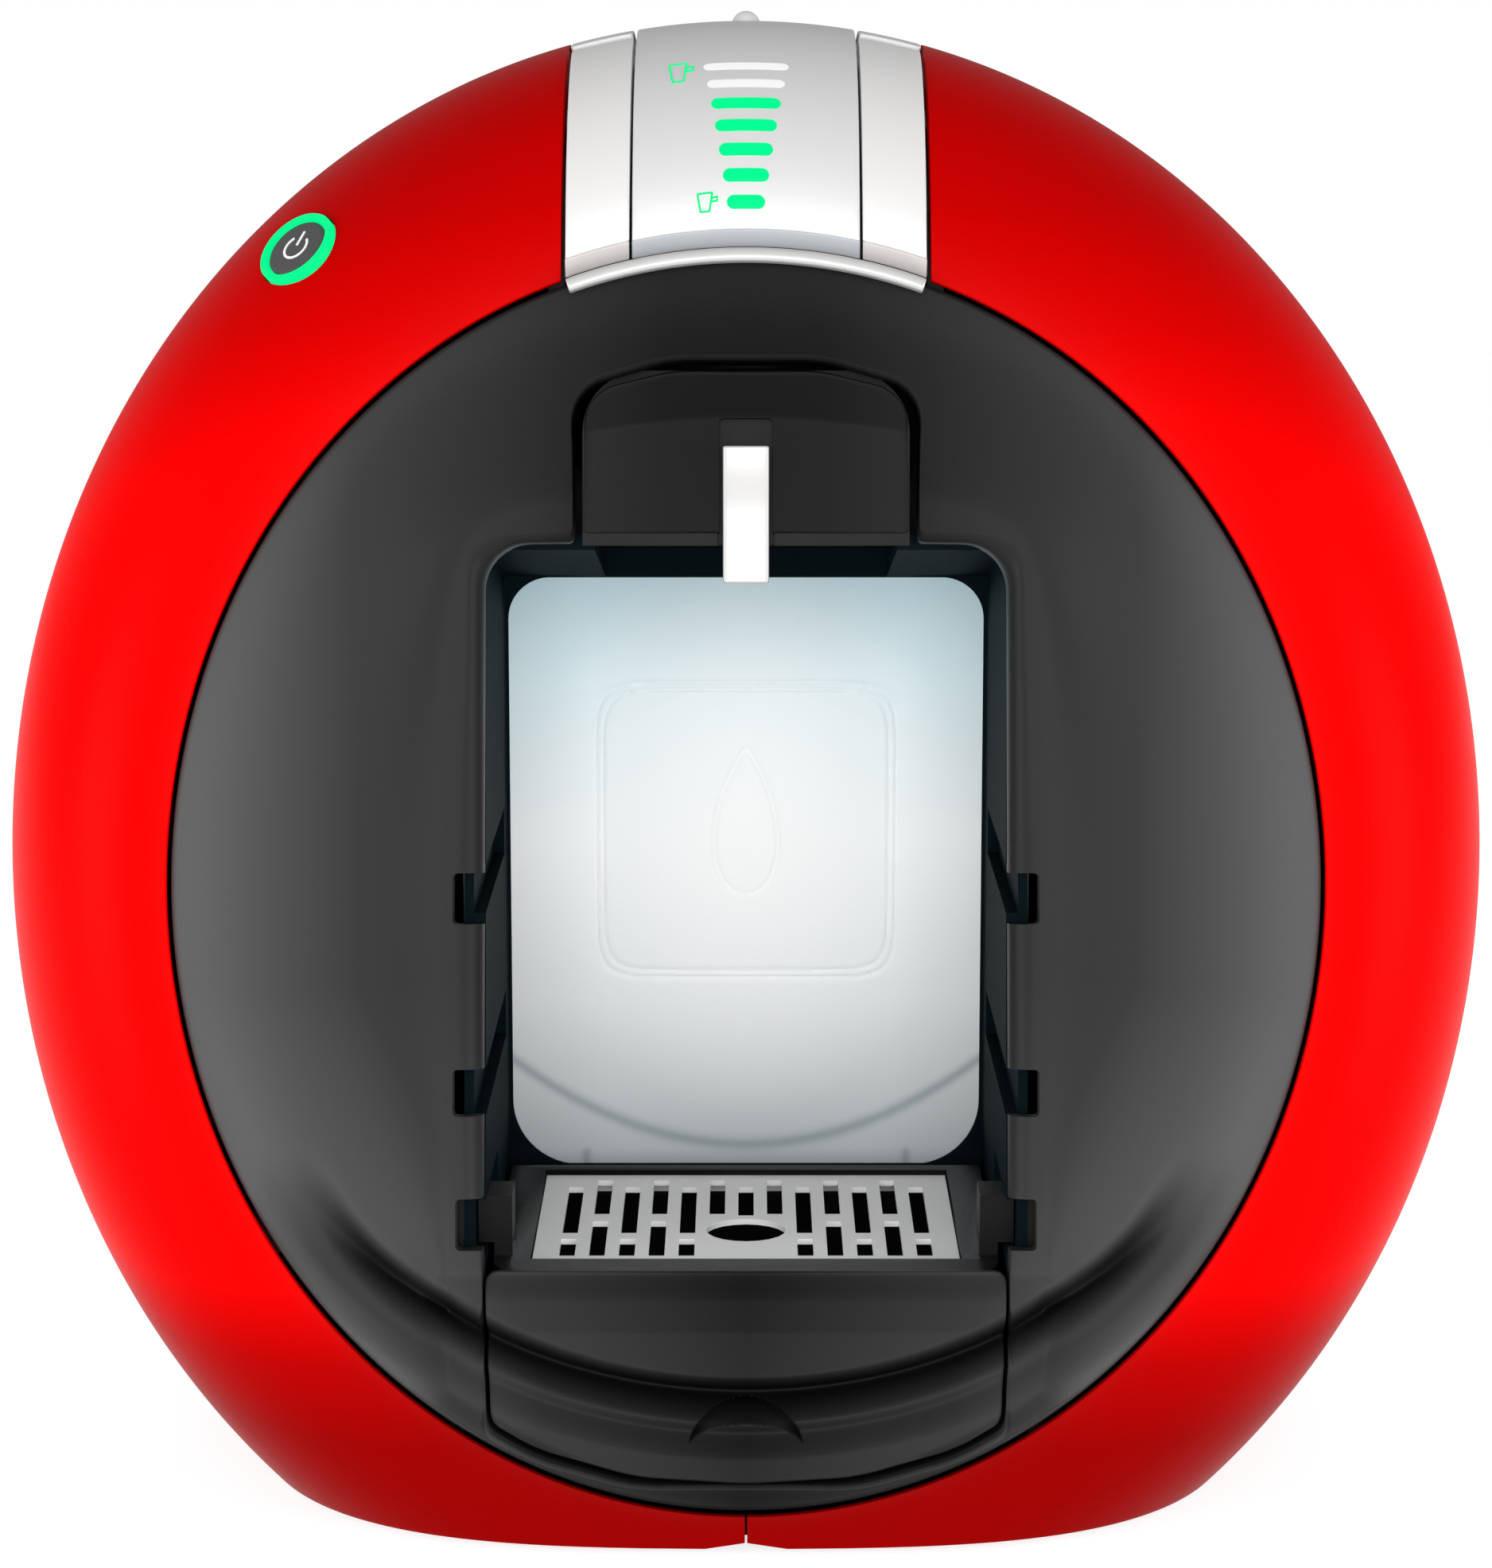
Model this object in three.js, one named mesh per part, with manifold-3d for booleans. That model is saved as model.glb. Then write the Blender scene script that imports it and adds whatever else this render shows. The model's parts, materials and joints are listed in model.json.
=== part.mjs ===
// Pod coffee machine: a leaning ring body around a cup bay, with a pod holder, a lock handle,
// a drip tray and a lift-off water tank. Millimetres, +Z up, the front faces -Y.
import * as THREE from 'three';
import { mergeVertices } from 'three/addons/utils/BufferGeometryUtils.js';
import Module from 'manifold-3d';

const wasm = await Module();
wasm.setup();

// ---------------------------------------------------------------- driving dimensions
const GAP = 0.3; // clearance between touching pieces
const LEAN = THREE.MathUtils.degToRad(10); // the ring leans back by this angle
const RING_CENTRE = new THREE.Vector3(0, -31, 128);
const WALL = 2.5; // moulded wall

// Ellipses of the ring, in its own leaning frame: half width a, half height b,
// centre height c and depth m.
const RIM = { a: 104.4, b: 114.1, c: -17.7, m: -53.1 };
const BELLY = { a: 140, b: 156.8, c: -10.8, m: 2 };
const REAR = { a: 30, b: 45, c: -10.8, m: 74 };
const BAND_POWER = 2.2; // superellipse power of the band between rim and belly
const BACK_POWER = 2.4;
const SEAM_M = 34; // depth of the seam between side shells and rear housing
const SKIRT_Z = 1.5; // the shells stop this high above the table

const FOOT = { radius: 9, height: 2.7, frontX: 62, front: -72, backX: 28, back: 84 };
const BASE = { z0: 3, z1: 5.5 };

const BAY = { half: 48.1, wall: 4, floor: 9.2, top: 177.6, windowTop: 163.7, back: 4 };
const BAY_FRONT_M = -32;
const GROOVES = [[110, 119], [73, 82]]; // tray guide heights on the bay walls
const EAR = { z0: 48.5, z1: 57.5, reach: 49.8 };

const FRAME = { half: 54.6, low: -129.6, high: 50, power: 8, m: -40, lowM: -50 };
const HOLDER_ARCH = { half: 31.3, low: 176, high: 211.5 };

const TRAY = { half: 47, z0: 12.2, z1: 46, back: -9, keel: 112 };
const GRID = { half: 39.9, front: -74, back: -13, z0: 42, z1: 45, hole: 7.6, holeY: -52 };

const HOLDER = { half: 29, z0: 180.4, z1: 203, faceM: -43, back: 0 };
const PULL = { half: 4.3, low: 36.5, high: 61.3, slot: 5.2, slotHigh: 66.6 };
const POD = { radius: 27.3, y: -29, floor: 184 };
const POST = { x: 22, y: -8, radius: 2.5, z0: 206.5, z1: 240 };
const NEEDLE = { radius: 1.2, tip: 200.5 };

const TANK = { half: 54, z0: 28.9, z1: 190, front: 4.6, straight: 50, depth: 53.54, wall: 2.2 };
const CHANNEL = { half: 57, wall: 2.5, front: 4.3 };

const MODULE_HALF = 33.3; // half width of the control module between the side shells
const PANEL = { half: 20.5, low: 99.4 };
const REAR_STRIP = { inner: 21.3, outer: 33, startM: -19.5 };
const BARS = { count: 7, width: 6.9, grow: 1.45, thick: 2.8, first: 8.3, pitch: 5.07 };
const ARM = { inner: 21, outer: 32.5, thick: 6, endM: -25.7 };
const PIVOT = { w: 122.5, m: -32, boss: 4.5, pin: 2 };
const WHEEL = { radius: 5.3, half: 8, axle: 1.5, w: 141.8, m: 2 };
const WHEEL_POST = { x0: 9.6, x1: 12, half: 2.3, pocket: 13 };
const SELECTOR = { w: 144.6, m: -9, radius: 2.7, slot: 8.5, slotM: 3.1, drop: 24 };
const GLAND = { x: -80, z: 40, radius: 6 };
const PUMP = { x: -86, y: -20 };
const POWER = { angle: 129.5, t: 0.463, outer: 7.85, inner: 6.4, cap: 6.1 };

// ---------------------------------------------------------------- materials
function material(color, roughness, metalness = 0) {
  return new THREE.MeshStandardMaterial({ color, roughness, metalness });
}

const RED = material(0xd4120c, 0.25);
const DISH_BLACK = material(0x2c2d2f, 0.4);
const BLACK = material(0x17181a, 0.5);
const SILVER = material(0xd2d4d6, 0.3, 0.6);
const CHROME = material(0xe8eaec, 0.12, 1);
const LED_GREEN = material(0x00ff8c, 0.4);
const WHITE = material(0xf2f4f4, 0.4);
const RUBBER = material(0x1b1b1c, 0.9);
const STEEL = material(0xb9bcc0, 0.3, 1);
const TANK_BLUE = material(0xc8dde2, 0.15);
const BOARD_GREEN = material(0x1d5a38, 0.6);
const HOSE = material(0xdfe2e0, 0.5);
const GREY = material(0x5a5c60, 0.5);

// ---------------------------------------------------------------- solids
// The ring's leaning frame, with x across, y along its depth m and z up the ring.
const lean = new THREE.Matrix4().makeRotationX(-LEAN).setPosition(RING_CENTRE);

function solid(geometry) {
  geometry.deleteAttribute('normal');
  geometry.deleteAttribute('uv');
  const merged = mergeVertices(geometry, 1e-4);
  return new wasm.Manifold(new wasm.Mesh({
    numProp: 3,
    vertProperties: merged.attributes.position.array,
    triVerts: new Uint32Array(merged.index.array),
  }));
}

function meshOf(name, body, surface) {
  const { vertProperties, triVerts } = body.getMesh();
  const geometry = new THREE.BufferGeometry();
  geometry.setAttribute('position', new THREE.BufferAttribute(vertProperties, 3));
  geometry.setIndex(new THREE.BufferAttribute(triVerts, 1));
  geometry.computeVertexNormals();
  const mesh = new THREE.Mesh(geometry, surface);
  mesh.name = name;
  return mesh;
}

function box(x, y, z, frame) {
  const geometry = new THREE.BoxGeometry(x[1] - x[0], y[1] - y[0], z[1] - z[0]);
  geometry.translate((x[0] + x[1]) / 2, (y[0] + y[1]) / 2, (z[0] + z[1]) / 2);
  if (frame) geometry.applyMatrix4(frame);
  return solid(geometry);
}

// A cylinder from point to point.
function rod(from, to, radius, sides = 16, endRadius = radius) {
  const axis = new THREE.Vector3().subVectors(to, from);
  const geometry = new THREE.CylinderGeometry(endRadius, radius, axis.length(), sides);
  const turn = new THREE.Quaternion().setFromUnitVectors(
    new THREE.Vector3(0, 1, 0), axis.clone().normalize());
  geometry.applyQuaternion(turn);
  geometry.translate((from.x + to.x) / 2, (from.y + to.y) / 2, (from.z + to.z) / 2);
  return solid(geometry);
}

function tube(from, to, outer, inner, sides = 20) {
  const axis = new THREE.Vector3().subVectors(to, from).normalize();
  const start = from.clone().sub(axis);
  const end = to.clone().add(axis);
  return rod(from, to, outer, sides).subtract(rod(start, end, inner, sides));
}

// A closed skin through rows of points, each row a closed loop; ends are capped,
// or the last row joins the first one.
function skin(rows, ring = false) {
  const size = rows[0].length;
  const points = rows.flat();
  const faces = [];
  const last = ring ? rows.length : rows.length - 1;
  for (let r = 0; r < last; r++) {
    const next = (r + 1) % rows.length;
    for (let i = 0; i < size; i++) {
      const j = (i + 1) % size;
      const [p, q] = [r * size + i, r * size + j];
      const [s, t] = [next * size + i, next * size + j];
      faces.push(p, q, t, p, t, s);
    }
  }
  if (!ring) {
    for (const [row, flip] of [[0, true], [rows.length - 1, false]]) {
      const centre = new THREE.Vector3();
      rows[row].forEach((p) => centre.addScaledVector(p, 1 / size));
      const hub = points.push(centre) - 1;
      for (let i = 0; i < size; i++) {
        const [p, q] = [row * size + i, row * size + ((i + 1) % size)];
        faces.push(...(flip ? [hub, q, p] : [hub, p, q]));
      }
    }
  }
  const geometry = new THREE.BufferGeometry().setFromPoints(points);
  geometry.setIndex(faces);
  const body = solid(geometry);
  if (body.volume() > 0) return body;
  geometry.setIndex(faces.reverse());
  return solid(geometry);
}

function plate(shape, from, to, curveSegments = 10) {
  const geometry = new THREE.ExtrudeGeometry(
    shape, { depth: to - from, bevelEnabled: false, curveSegments });
  geometry.translate(0, 0, from);
  return solid(geometry);
}

// An outline in the YZ plane, extruded across the machine.
function across(outline, x0, x1) {
  const shape = new THREE.Shape(outline.map(([y, z]) => new THREE.Vector2(y, z)));
  const geometry = new THREE.ExtrudeGeometry(shape, { depth: x1 - x0, bevelEnabled: false });
  geometry.applyMatrix4(new THREE.Matrix4().set(
    0, 0, 1, x0,
    1, 0, 0, 0,
    0, 1, 0, 0,
    0, 0, 0, 1));
  return solid(geometry);
}

function hose(points, radius, steps) {
  const path = new THREE.CatmullRomCurve3(points.map((p) => new THREE.Vector3(...p)));
  const section = new THREE.Shape().absarc(0, 0, radius, 0, 2 * Math.PI);
  return solid(new THREE.ExtrudeGeometry(section, {
    steps, curveSegments: 4, bevelEnabled: false, extrudePath: path,
  }));
}

function union(...bodies) {
  return bodies.reduce((all, one) => all.add(one));
}

// ---------------------------------------------------------------- the ring's surface
const SIDES = 44; // points round the ring

// The band's ellipse at t, 0 at the rim and 1 at the belly, inset by d.
function band(t, d = 0) {
  const turn = t * Math.PI / 2;
  const out = Math.sin(turn) ** (2 / BAND_POWER);
  const back = 1 - Math.cos(turn) ** (2 / BAND_POWER);
  return {
    a: RIM.a + (BELLY.a - d - RIM.a) * out,
    b: RIM.b + (BELLY.b - d - RIM.b) * out,
    c: RIM.c + (BELLY.c - RIM.c) * out,
    m: RIM.m + d + (BELLY.m - RIM.m - d) * back,
  };
}

// The domed back's ellipse at t, 0 at the belly and 1 at the rear face, inset by d.
function dome(t, d = 0) {
  const turn = t * Math.PI / 2;
  const along = Math.sin(turn) ** (2 / BACK_POWER);
  const keep = Math.cos(turn) ** (2 / BACK_POWER);
  return {
    a: REAR.a + (BELLY.a - REAR.a - d) * keep,
    b: REAR.b + (BELLY.b - REAR.b - d) * keep,
    c: BELLY.c,
    m: BELLY.m + (REAR.m - BELLY.m - d) * along,
  };
}

function ellipseRow({ a, b, c, m }, sides = SIDES) {
  const row = [];
  for (let i = 0; i < sides; i++) {
    const angle = 2 * Math.PI * i / sides;
    row.push(new THREE.Vector3(a * Math.cos(angle), m, c + b * Math.sin(angle))
      .applyMatrix4(lean));
  }
  return row;
}

// The whole ring as a solid drum, inset by d. An open one runs out through the rim.
function drum(d, open = false) {
  const rings = [];
  if (open) rings.push({ ...RIM, m: RIM.m - 20 });
  for (const t of [0, 0.15, 0.32, 0.5, 0.72, 1]) rings.push(band(t, d));
  for (const t of [0.25, 0.45, 0.65, 0.85, 1]) rings.push(dome(t, d));
  return skin(rings.map((ring) => ellipseRow(ring)));
}

// A point on the band in the machine's frame, with the outward normal there.
function onBand(angle, t, d = 0) {
  const place = (turn, s) => {
    const { a, b, c, m } = band(s, d);
    return new THREE.Vector3(a * Math.cos(turn), m, c + b * Math.sin(turn))
      .applyMatrix4(lean);
  };
  const turn = THREE.MathUtils.degToRad(angle);
  const point = place(turn, t);
  const step = 0.01;
  const along = place(turn, t + step).sub(place(turn, t - step));
  const round = place(turn + step, t).sub(place(turn - step, t));
  const normal = along.cross(round).normalize();
  if (normal.y > 0) normal.negate();
  return { point, normal };
}

function slab(m0, m1) {
  return box([-200, 200], [m0, m1], [-250, 250], lean);
}

const above = (z) => box([-200, 200], [-200, 200], [z, 400]);
const between = (x0, x1) => box([x0, x1], [-200, 200], [200, 400]);

const outerDrum = drum(0);
const hollowDrum = outerDrum.subtract(drum(WALL, true));
const innerSpace = drum(WALL + GAP + 0.05);
const moduleSpace = between(-MODULE_HALF, MODULE_HALF);

// ---------------------------------------------------------------- body
function powerPoint(reach) {
  return onBand(POWER.angle, POWER.t).point
    .addScaledVector(onBand(POWER.angle, POWER.t).normal, reach);
}

function powerRod(from, to, radius, sides = 24) {
  return rod(powerPoint(from), powerPoint(to), radius, sides);
}

function makeSideShells() {
  const channel = box([-CHANNEL.half - 2.8, CHANNEL.half + 2.8], [CHANNEL.front, 200],
    [150, 400]);
  const whole = hollowDrum.intersect(slab(-100, SEAM_M)).intersect(above(SKIRT_Z))
    .subtract(moduleSpace).subtract(channel);
  const left = whole.intersect(box([-200, -0.2], [-200, 200], [0, 400]))
    .subtract(powerRod(-20, 20, POWER.outer + GAP));
  const right = whole.intersect(box([0.2, 200], [-200, 200], [0, 400]));
  return [
    meshOf('left_side_shell', left, RED),
    meshOf('right_side_shell', right, RED),
  ];
}

// The rounded opening of the dish, a superellipse, grown by g at depth m.
function frameRow(g, depth) {
  const mid = (FRAME.high + FRAME.low) / 2;
  const half = (FRAME.high - FRAME.low) / 2;
  const row = [];
  for (let i = 0; i < SIDES; i++) {
    const angle = 2 * Math.PI * i / SIDES;
    const [u, v] = [Math.cos(angle), Math.sin(angle)];
    const reach = (Math.abs(u / (FRAME.half + g)) ** FRAME.power
      + Math.abs(v / (half + g)) ** FRAME.power) ** (-1 / FRAME.power);
    const w = mid + reach * v;
    const low = THREE.MathUtils.smoothstep(-w, 95, -FRAME.low);
    const m = FRAME.m + depth + (FRAME.lowM - FRAME.m) * low;
    row.push(new THREE.Vector3(reach * u, m, w));
  }
  return row;
}

function makeFascia() {
  const edge = ellipseRow({ a: RIM.a - 0.8, b: RIM.b - 0.8, c: RIM.c, m: RIM.m + 1.1 });
  const lip = frameRow(0, 0).map((p) => p.applyMatrix4(lean));
  const back = new THREE.Vector3(0, WALL, 0).transformDirection(lean).multiplyScalar(WALL);
  const blend = (s, sag) => edge.map((p, i) => {
    const q = p.clone().lerp(lip[i], s);
    return q.addScaledVector(back, sag);
  });
  const front = [0, 0.35, 0.7, 1].map((s) => blend(s, (s * s - s) * 0.8));
  const inner = frameRow(-3, 5).map((p) => p.applyMatrix4(lean));
  const innerBack = inner.map((p) => p.clone().add(back));
  const rear = [1, 0.5, 0].map((s) => blend(s, (s * s - s) * 0.8 + 1));
  const dish = skin([...front, inner, innerBack, ...rear], true);
  const arch = holderArch(HOLDER_ARCH.half, HOLDER_ARCH.low, HOLDER_ARCH.high, 12);
  const earPath = box([-EAR.reach - GAP, EAR.reach + GAP], [-200, 0],
    [EAR.z0 - GAP, EAR.z1 + GAP]);
  return meshOf('front_fascia', dish.subtract(arch).subtract(earPath), DISH_BLACK);
}

// An arch-topped prism through the front, for the pod holder's opening.
function holderArch(half, low, high, radius) {
  const shape = new THREE.Shape();
  shape.moveTo(-half, low);
  shape.lineTo(half, low);
  shape.lineTo(half, high - radius);
  shape.absarc(half - radius, high - radius, radius, 0, Math.PI / 2);
  shape.lineTo(radius - half, high);
  shape.absarc(radius - half, high - radius, radius, Math.PI / 2, Math.PI);
  const body = new THREE.ExtrudeGeometry(
    shape, { depth: 160, bevelEnabled: false, curveSegments: 6 });
  body.rotateX(Math.PI / 2);
  return solid(body);
}

function makeLiner() {
  const { half, wall, floor, top, windowTop, back } = BAY;
  const ceiling = [
    [-92, top + 2.7], [-92, top], [-62, top], [back, windowTop], [back, windowTop + 2.5],
    [-60, top + 2.5],
  ];
  const sides = [-1, 1].map((side) => {
    const outline = [[-96, floor], [-96, top + 2.5], [-60, top + 2.5], [back, windowTop + 2.5],
      [back, floor]];
    const x = [side * half, side * (half + wall)].sort((p, q) => p - q);
    return across(outline, ...x);
  });
  const rear = box([-half - 1, half + 1], [back - WALL, back], [floor, 42.9]);
  const base = box([-half - 1, half + 1], [-96, back], [floor, floor + WALL]);
  let body = union(...sides, across(ceiling, -half - 1, half + 1), rear, base);
  body = body.subtract(box([-28, 28], [-200, HOLDER.back + 1.5], [150, 190]));
  for (const [low, high] of GROOVES) {
    body = body.subtract(box([-half - 2.2, half + 2.2], [-200, -8], [low, high]));
  }
  body = body.subtract(box([-EAR.reach - GAP, EAR.reach + GAP], [-200, -40],
    [EAR.z0 - GAP, EAR.z1 + GAP]));
  const upper = slab(BAY_FRONT_M, 100);
  const low = slab(-40.5, 100).intersect(box([-200, 200], [-200, 100], [0, 12]));
  return meshOf('cavity_liner', body.intersect(upper.add(low)), BLACK);
}

// The tank's footprint: straight sides and a round back, grown by g.
function tankShape(g) {
  const { half, front, straight, depth } = TANK;
  const shape = new THREE.Shape();
  shape.moveTo(-half - g, front - g);
  shape.lineTo(half + g, front - g);
  shape.lineTo(half + g, straight);
  shape.absellipse(0, straight, half + g, depth + g, 0, Math.PI);
  return shape;
}

function makeRearHousing() {
  const { half, wall, front } = CHANNEL;
  const walls = union(
    box([half, half + wall], [front - WALL, 200], [28, 400]),
    box([-half - wall, -half], [front - WALL, 200], [28, 400]),
    box([-half - wall, half + wall], [front - WALL - GAP, front - GAP], [168, 400]),
  );
  const rear = slab(SEAM_M + GAP, 200);
  const back = outerDrum.intersect(rear).subtract(drum(WALL, true).subtract(walls));
  const fore = innerSpace.subtract(slab(SEAM_M + 2 * GAP, 200)).intersect(walls);
  const channel = box([-half, half], [front - GAP, 200], [20, 400]);
  const seat = box([-half - 3.4, half + 3.4], [front - 4.6, 200], [0, 28.6]);
  const body = back.add(fore).subtract(channel).subtract(seat).intersect(above(SKIRT_Z));
  const gland = rod(new THREE.Vector3(GLAND.x, -8, GLAND.z),
    new THREE.Vector3(GLAND.x, 60, GLAND.z), GLAND.radius + GAP, 16);
  return meshOf('rear_housing', body.subtract(gland), BLACK);
}

function makeBase() {
  const slice = innerSpace.intersect(box([-200, 200], [-200, 200], [BASE.z0, BASE.z1]));
  const rear = plate(tankShape(3), BASE.z0, BASE.z1);
  const front = box([-40, 40], [-40, 20], [BASE.z0, BASE.z1]);
  let base = union(slice, rear, front);
  const holes = screwPlaces().map(([x, y]) => rod(
    new THREE.Vector3(x, y, 0), new THREE.Vector3(x, y, 10), 1.8, 12));
  base = holes.reduce((body, hole) => body.subtract(hole), base);
  const seat = plate(tankShape(3), BASE.z1 + GAP, TANK.z0 - GAP)
    .intersect(box([-100, 100], [CHANNEL.front, 200], [0, 50]));
  const well = rod(new THREE.Vector3(0, 50, 14), new THREE.Vector3(0, 50, 60), 12, 20);
  const port = rod(new THREE.Vector3(0, 50, 9), new THREE.Vector3(0, 50, 15), 4.5, 16);
  const duct = box([-7, 4.5], [6, 54], [7, 15]);
  const outlet = box([-70, 4], [6, 18], [7, 24]);
  return [
    meshOf('base_plate', base, BLACK),
    meshOf('tank_base', seat.subtract(union(well, port, duct, outlet)), BLACK),
  ];
}

function footPlaces() {
  return [
    ['front_left_foot', -FOOT.frontX, FOOT.front], ['front_right_foot', FOOT.frontX, FOOT.front],
    ['rear_left_foot', -FOOT.backX, FOOT.back], ['rear_right_foot', FOOT.backX, FOOT.back],
  ];
}

function makeFeet() {
  return footPlaces().map(([name, x, y]) => {
    const pad = rod(new THREE.Vector3(x, y, 0), new THREE.Vector3(x, y, FOOT.height),
      FOOT.radius - 1, 20, FOOT.radius);
    return meshOf(name, pad, RUBBER);
  });
}

function screwPlaces() {
  return [[-70, -30], [70, -30], [-40, 60], [40, 60]];
}

function makeScrews() {
  return screwPlaces().map(([x, y], i) => {
    const head = rod(new THREE.Vector3(x, y, 1.2), new THREE.Vector3(x, y, BASE.z0 - GAP), 3.2, 12);
    const shank = rod(new THREE.Vector3(x, y, 2), new THREE.Vector3(x, y, BASE.z1), 1.5, 12);
    return meshOf(`base_screw_${i + 1}`, head.add(shank), STEEL);
  });
}

// ---------------------------------------------------------------- control module
// The point on the panel's centre line at a distance along it from the rim.
function alongPanel(distance) {
  const steps = 400;
  let gone = 0;
  let before = onBand(90, 0);
  for (let i = 1; i <= steps; i++) {
    const here = onBand(90, i / steps);
    gone += here.point.distanceTo(before.point);
    if (gone >= distance) return here;
    before = here;
  }
  return before;
}

// A box lying on the panel: width across, size along the panel, and the depths it spans.
function panelBlock(distance, width, size, low, high) {
  const { point, normal } = alongPanel(distance);
  const geometry = new THREE.BoxGeometry(width, size, high - low);
  geometry.translate(0, 0, (high + low) / 2);
  const up = new THREE.Vector3().crossVectors(normal, new THREE.Vector3(1, 0, 0)).normalize();
  geometry.applyMatrix4(new THREE.Matrix4()
    .makeBasis(new THREE.Vector3(1, 0, 0), up, normal).setPosition(point));
  return solid(geometry);
}

function makePanel() {
  const pieces = [];
  const axle = ringPoint(0, WHEEL.m, WHEEL.w);
  const reach = WHEEL_POST.half + GAP;
  let panel = hollowDrum.intersect(between(-PANEL.half, PANEL.half))
    .intersect(box([-50, 50], [-60, 60], [PANEL.low, 200], lean))
    .intersect(box([-200, 200], [-200, CHANNEL.front], [200, 400]))
    .subtract(box([-SELECTOR.slot, SELECTOR.slot],
      [SELECTOR.m - SELECTOR.slotM, SELECTOR.m + SELECTOR.slotM], [100, 200], lean))
    .subtract(box([-WHEEL_POST.pocket, WHEEL_POST.pocket], [axle.y - reach, axle.y + reach],
      [200, axle.z + reach]));
  for (let i = 0; i < BARS.count; i++) {
    const width = BARS.width + BARS.grow * i;
    const place = BARS.first + BARS.pitch * i;
    panel = panel.subtract(
      panelBlock(place, width + 2 * GAP, BARS.thick - 0.2 + 2 * GAP, -8, 8));
    const bar = panelBlock(place, width, BARS.thick - 0.2, -3.2, -0.1);
    pieces.push(meshOf(`level_bar_${i + 1}`, bar, i < 5 ? LED_GREEN : WHITE));
  }
  const middle = BARS.first + BARS.pitch * 2;
  const board = panelBlock(middle, 30, 26, -9.4, -7.8);
  pieces.push(meshOf('display_board', board, BOARD_GREEN));
  pieces.push(meshOf('control_panel', panel.subtract(wheelSpace()), SILVER));
  return pieces;
}

const ringPoint = (x, m, w) => new THREE.Vector3(x, m, w).applyMatrix4(lean);

// The handle's front lip: a bevelled bar that follows the rim.
function lipBar() {
  const ringAt = (g, m) => ellipseRow({ a: RIM.a + g, b: RIM.b + g, c: RIM.c, m });
  const low = -2.9;
  return skin([
    ringAt(low, -52.8), ringAt(2.6, -52.8), ringAt(2.6, -53.6), ringAt(-0.2, -57),
    ringAt(low, -57),
  ], true).intersect(between(-ARM.outer, ARM.outer));
}

function makeHandle() {
  const shellOver = drum(-0.3).subtract(drum(ARM.thick, true));
  let body = lipBar();
  for (const side of [-1, 1]) {
    const x = [side * ARM.inner, side * ARM.outer].sort((p, q) => p - q);
    const arm = shellOver.intersect(between(...x))
      .intersect(box([-50, 50], [-60, ARM.endM], [88, 200], lean));
    const boss = rod(ringPoint(x[0], PIVOT.m, PIVOT.w), ringPoint(x[1], PIVOT.m, PIVOT.w),
      PIVOT.boss, 16);
    body = union(body, arm, boss);
  }
  const bore = rod(ringPoint(-50, PIVOT.m, PIVOT.w), ringPoint(50, PIVOT.m, PIVOT.w),
    PIVOT.pin + GAP, 12);
  return meshOf('lock_handle', body.subtract(bore), CHROME);
}

function makeHandlePins() {
  return [['left_handle_pin', -1], ['right_handle_pin', 1]].map(([name, side]) => {
    const pin = rod(ringPoint(side * (ARM.inner + 0.5), PIVOT.m, PIVOT.w),
      ringPoint(side * 35.5, PIVOT.m, PIVOT.w), PIVOT.pin, 12);
    return meshOf(name, pin, STEEL);
  });
}

function wheelSpace() {
  const reach = WHEEL.half + 2 * GAP;
  return rod(ringPoint(-reach, WHEEL.m, WHEEL.w), ringPoint(reach, WHEEL.m, WHEEL.w),
    WHEEL.radius + 2 * GAP, 24);
}

function postRod(side, from, to, radius) {
  return rod(new THREE.Vector3(side * POST.x, POST.y, from),
    new THREE.Vector3(side * POST.x, POST.y, to), radius, 12);
}

function makeHeadFrame() {
  const cheeks = union(
    box([-36.4, -33.4], [-70, -5], [206, 400]),
    box([33.4, 36.4], [-70, -5], [206, 400]),
  ).intersect(drum(WALL + 0.8)).intersect(slab(-36, 100));
  const bridge = box([-34, 34], [-64, -2.5], [238, 241]).intersect(drum(13));
  const axle = ringPoint(0, WHEEL.m, WHEEL.w);
  const posts = [[-WHEEL_POST.x1, -WHEEL_POST.x0], [WHEEL_POST.x0, WHEEL_POST.x1]].map((x) => box(
    x, [axle.y - WHEEL_POST.half, axle.y + WHEEL_POST.half], [240, axle.z + WHEEL_POST.half]));
  let body = union(cheeks, bridge, ...posts);
  for (const [radius, m, w] of [
    [PIVOT.pin + GAP, PIVOT.m, PIVOT.w], [WHEEL.axle + GAP, WHEEL.m, WHEEL.w]]) {
    body = body.subtract(rod(ringPoint(-50, m, w), ringPoint(50, m, w), radius, 12));
  }
  for (const side of [-1, 1]) body = body.subtract(postRod(side, 230, 250, POST.radius + GAP));
  const pass = rod(new THREE.Vector3(30, -22, 214.5), new THREE.Vector3(40, -22, 214.5), 6, 12);
  return meshOf('head_frame', body.subtract(pass), GREY);
}

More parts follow.
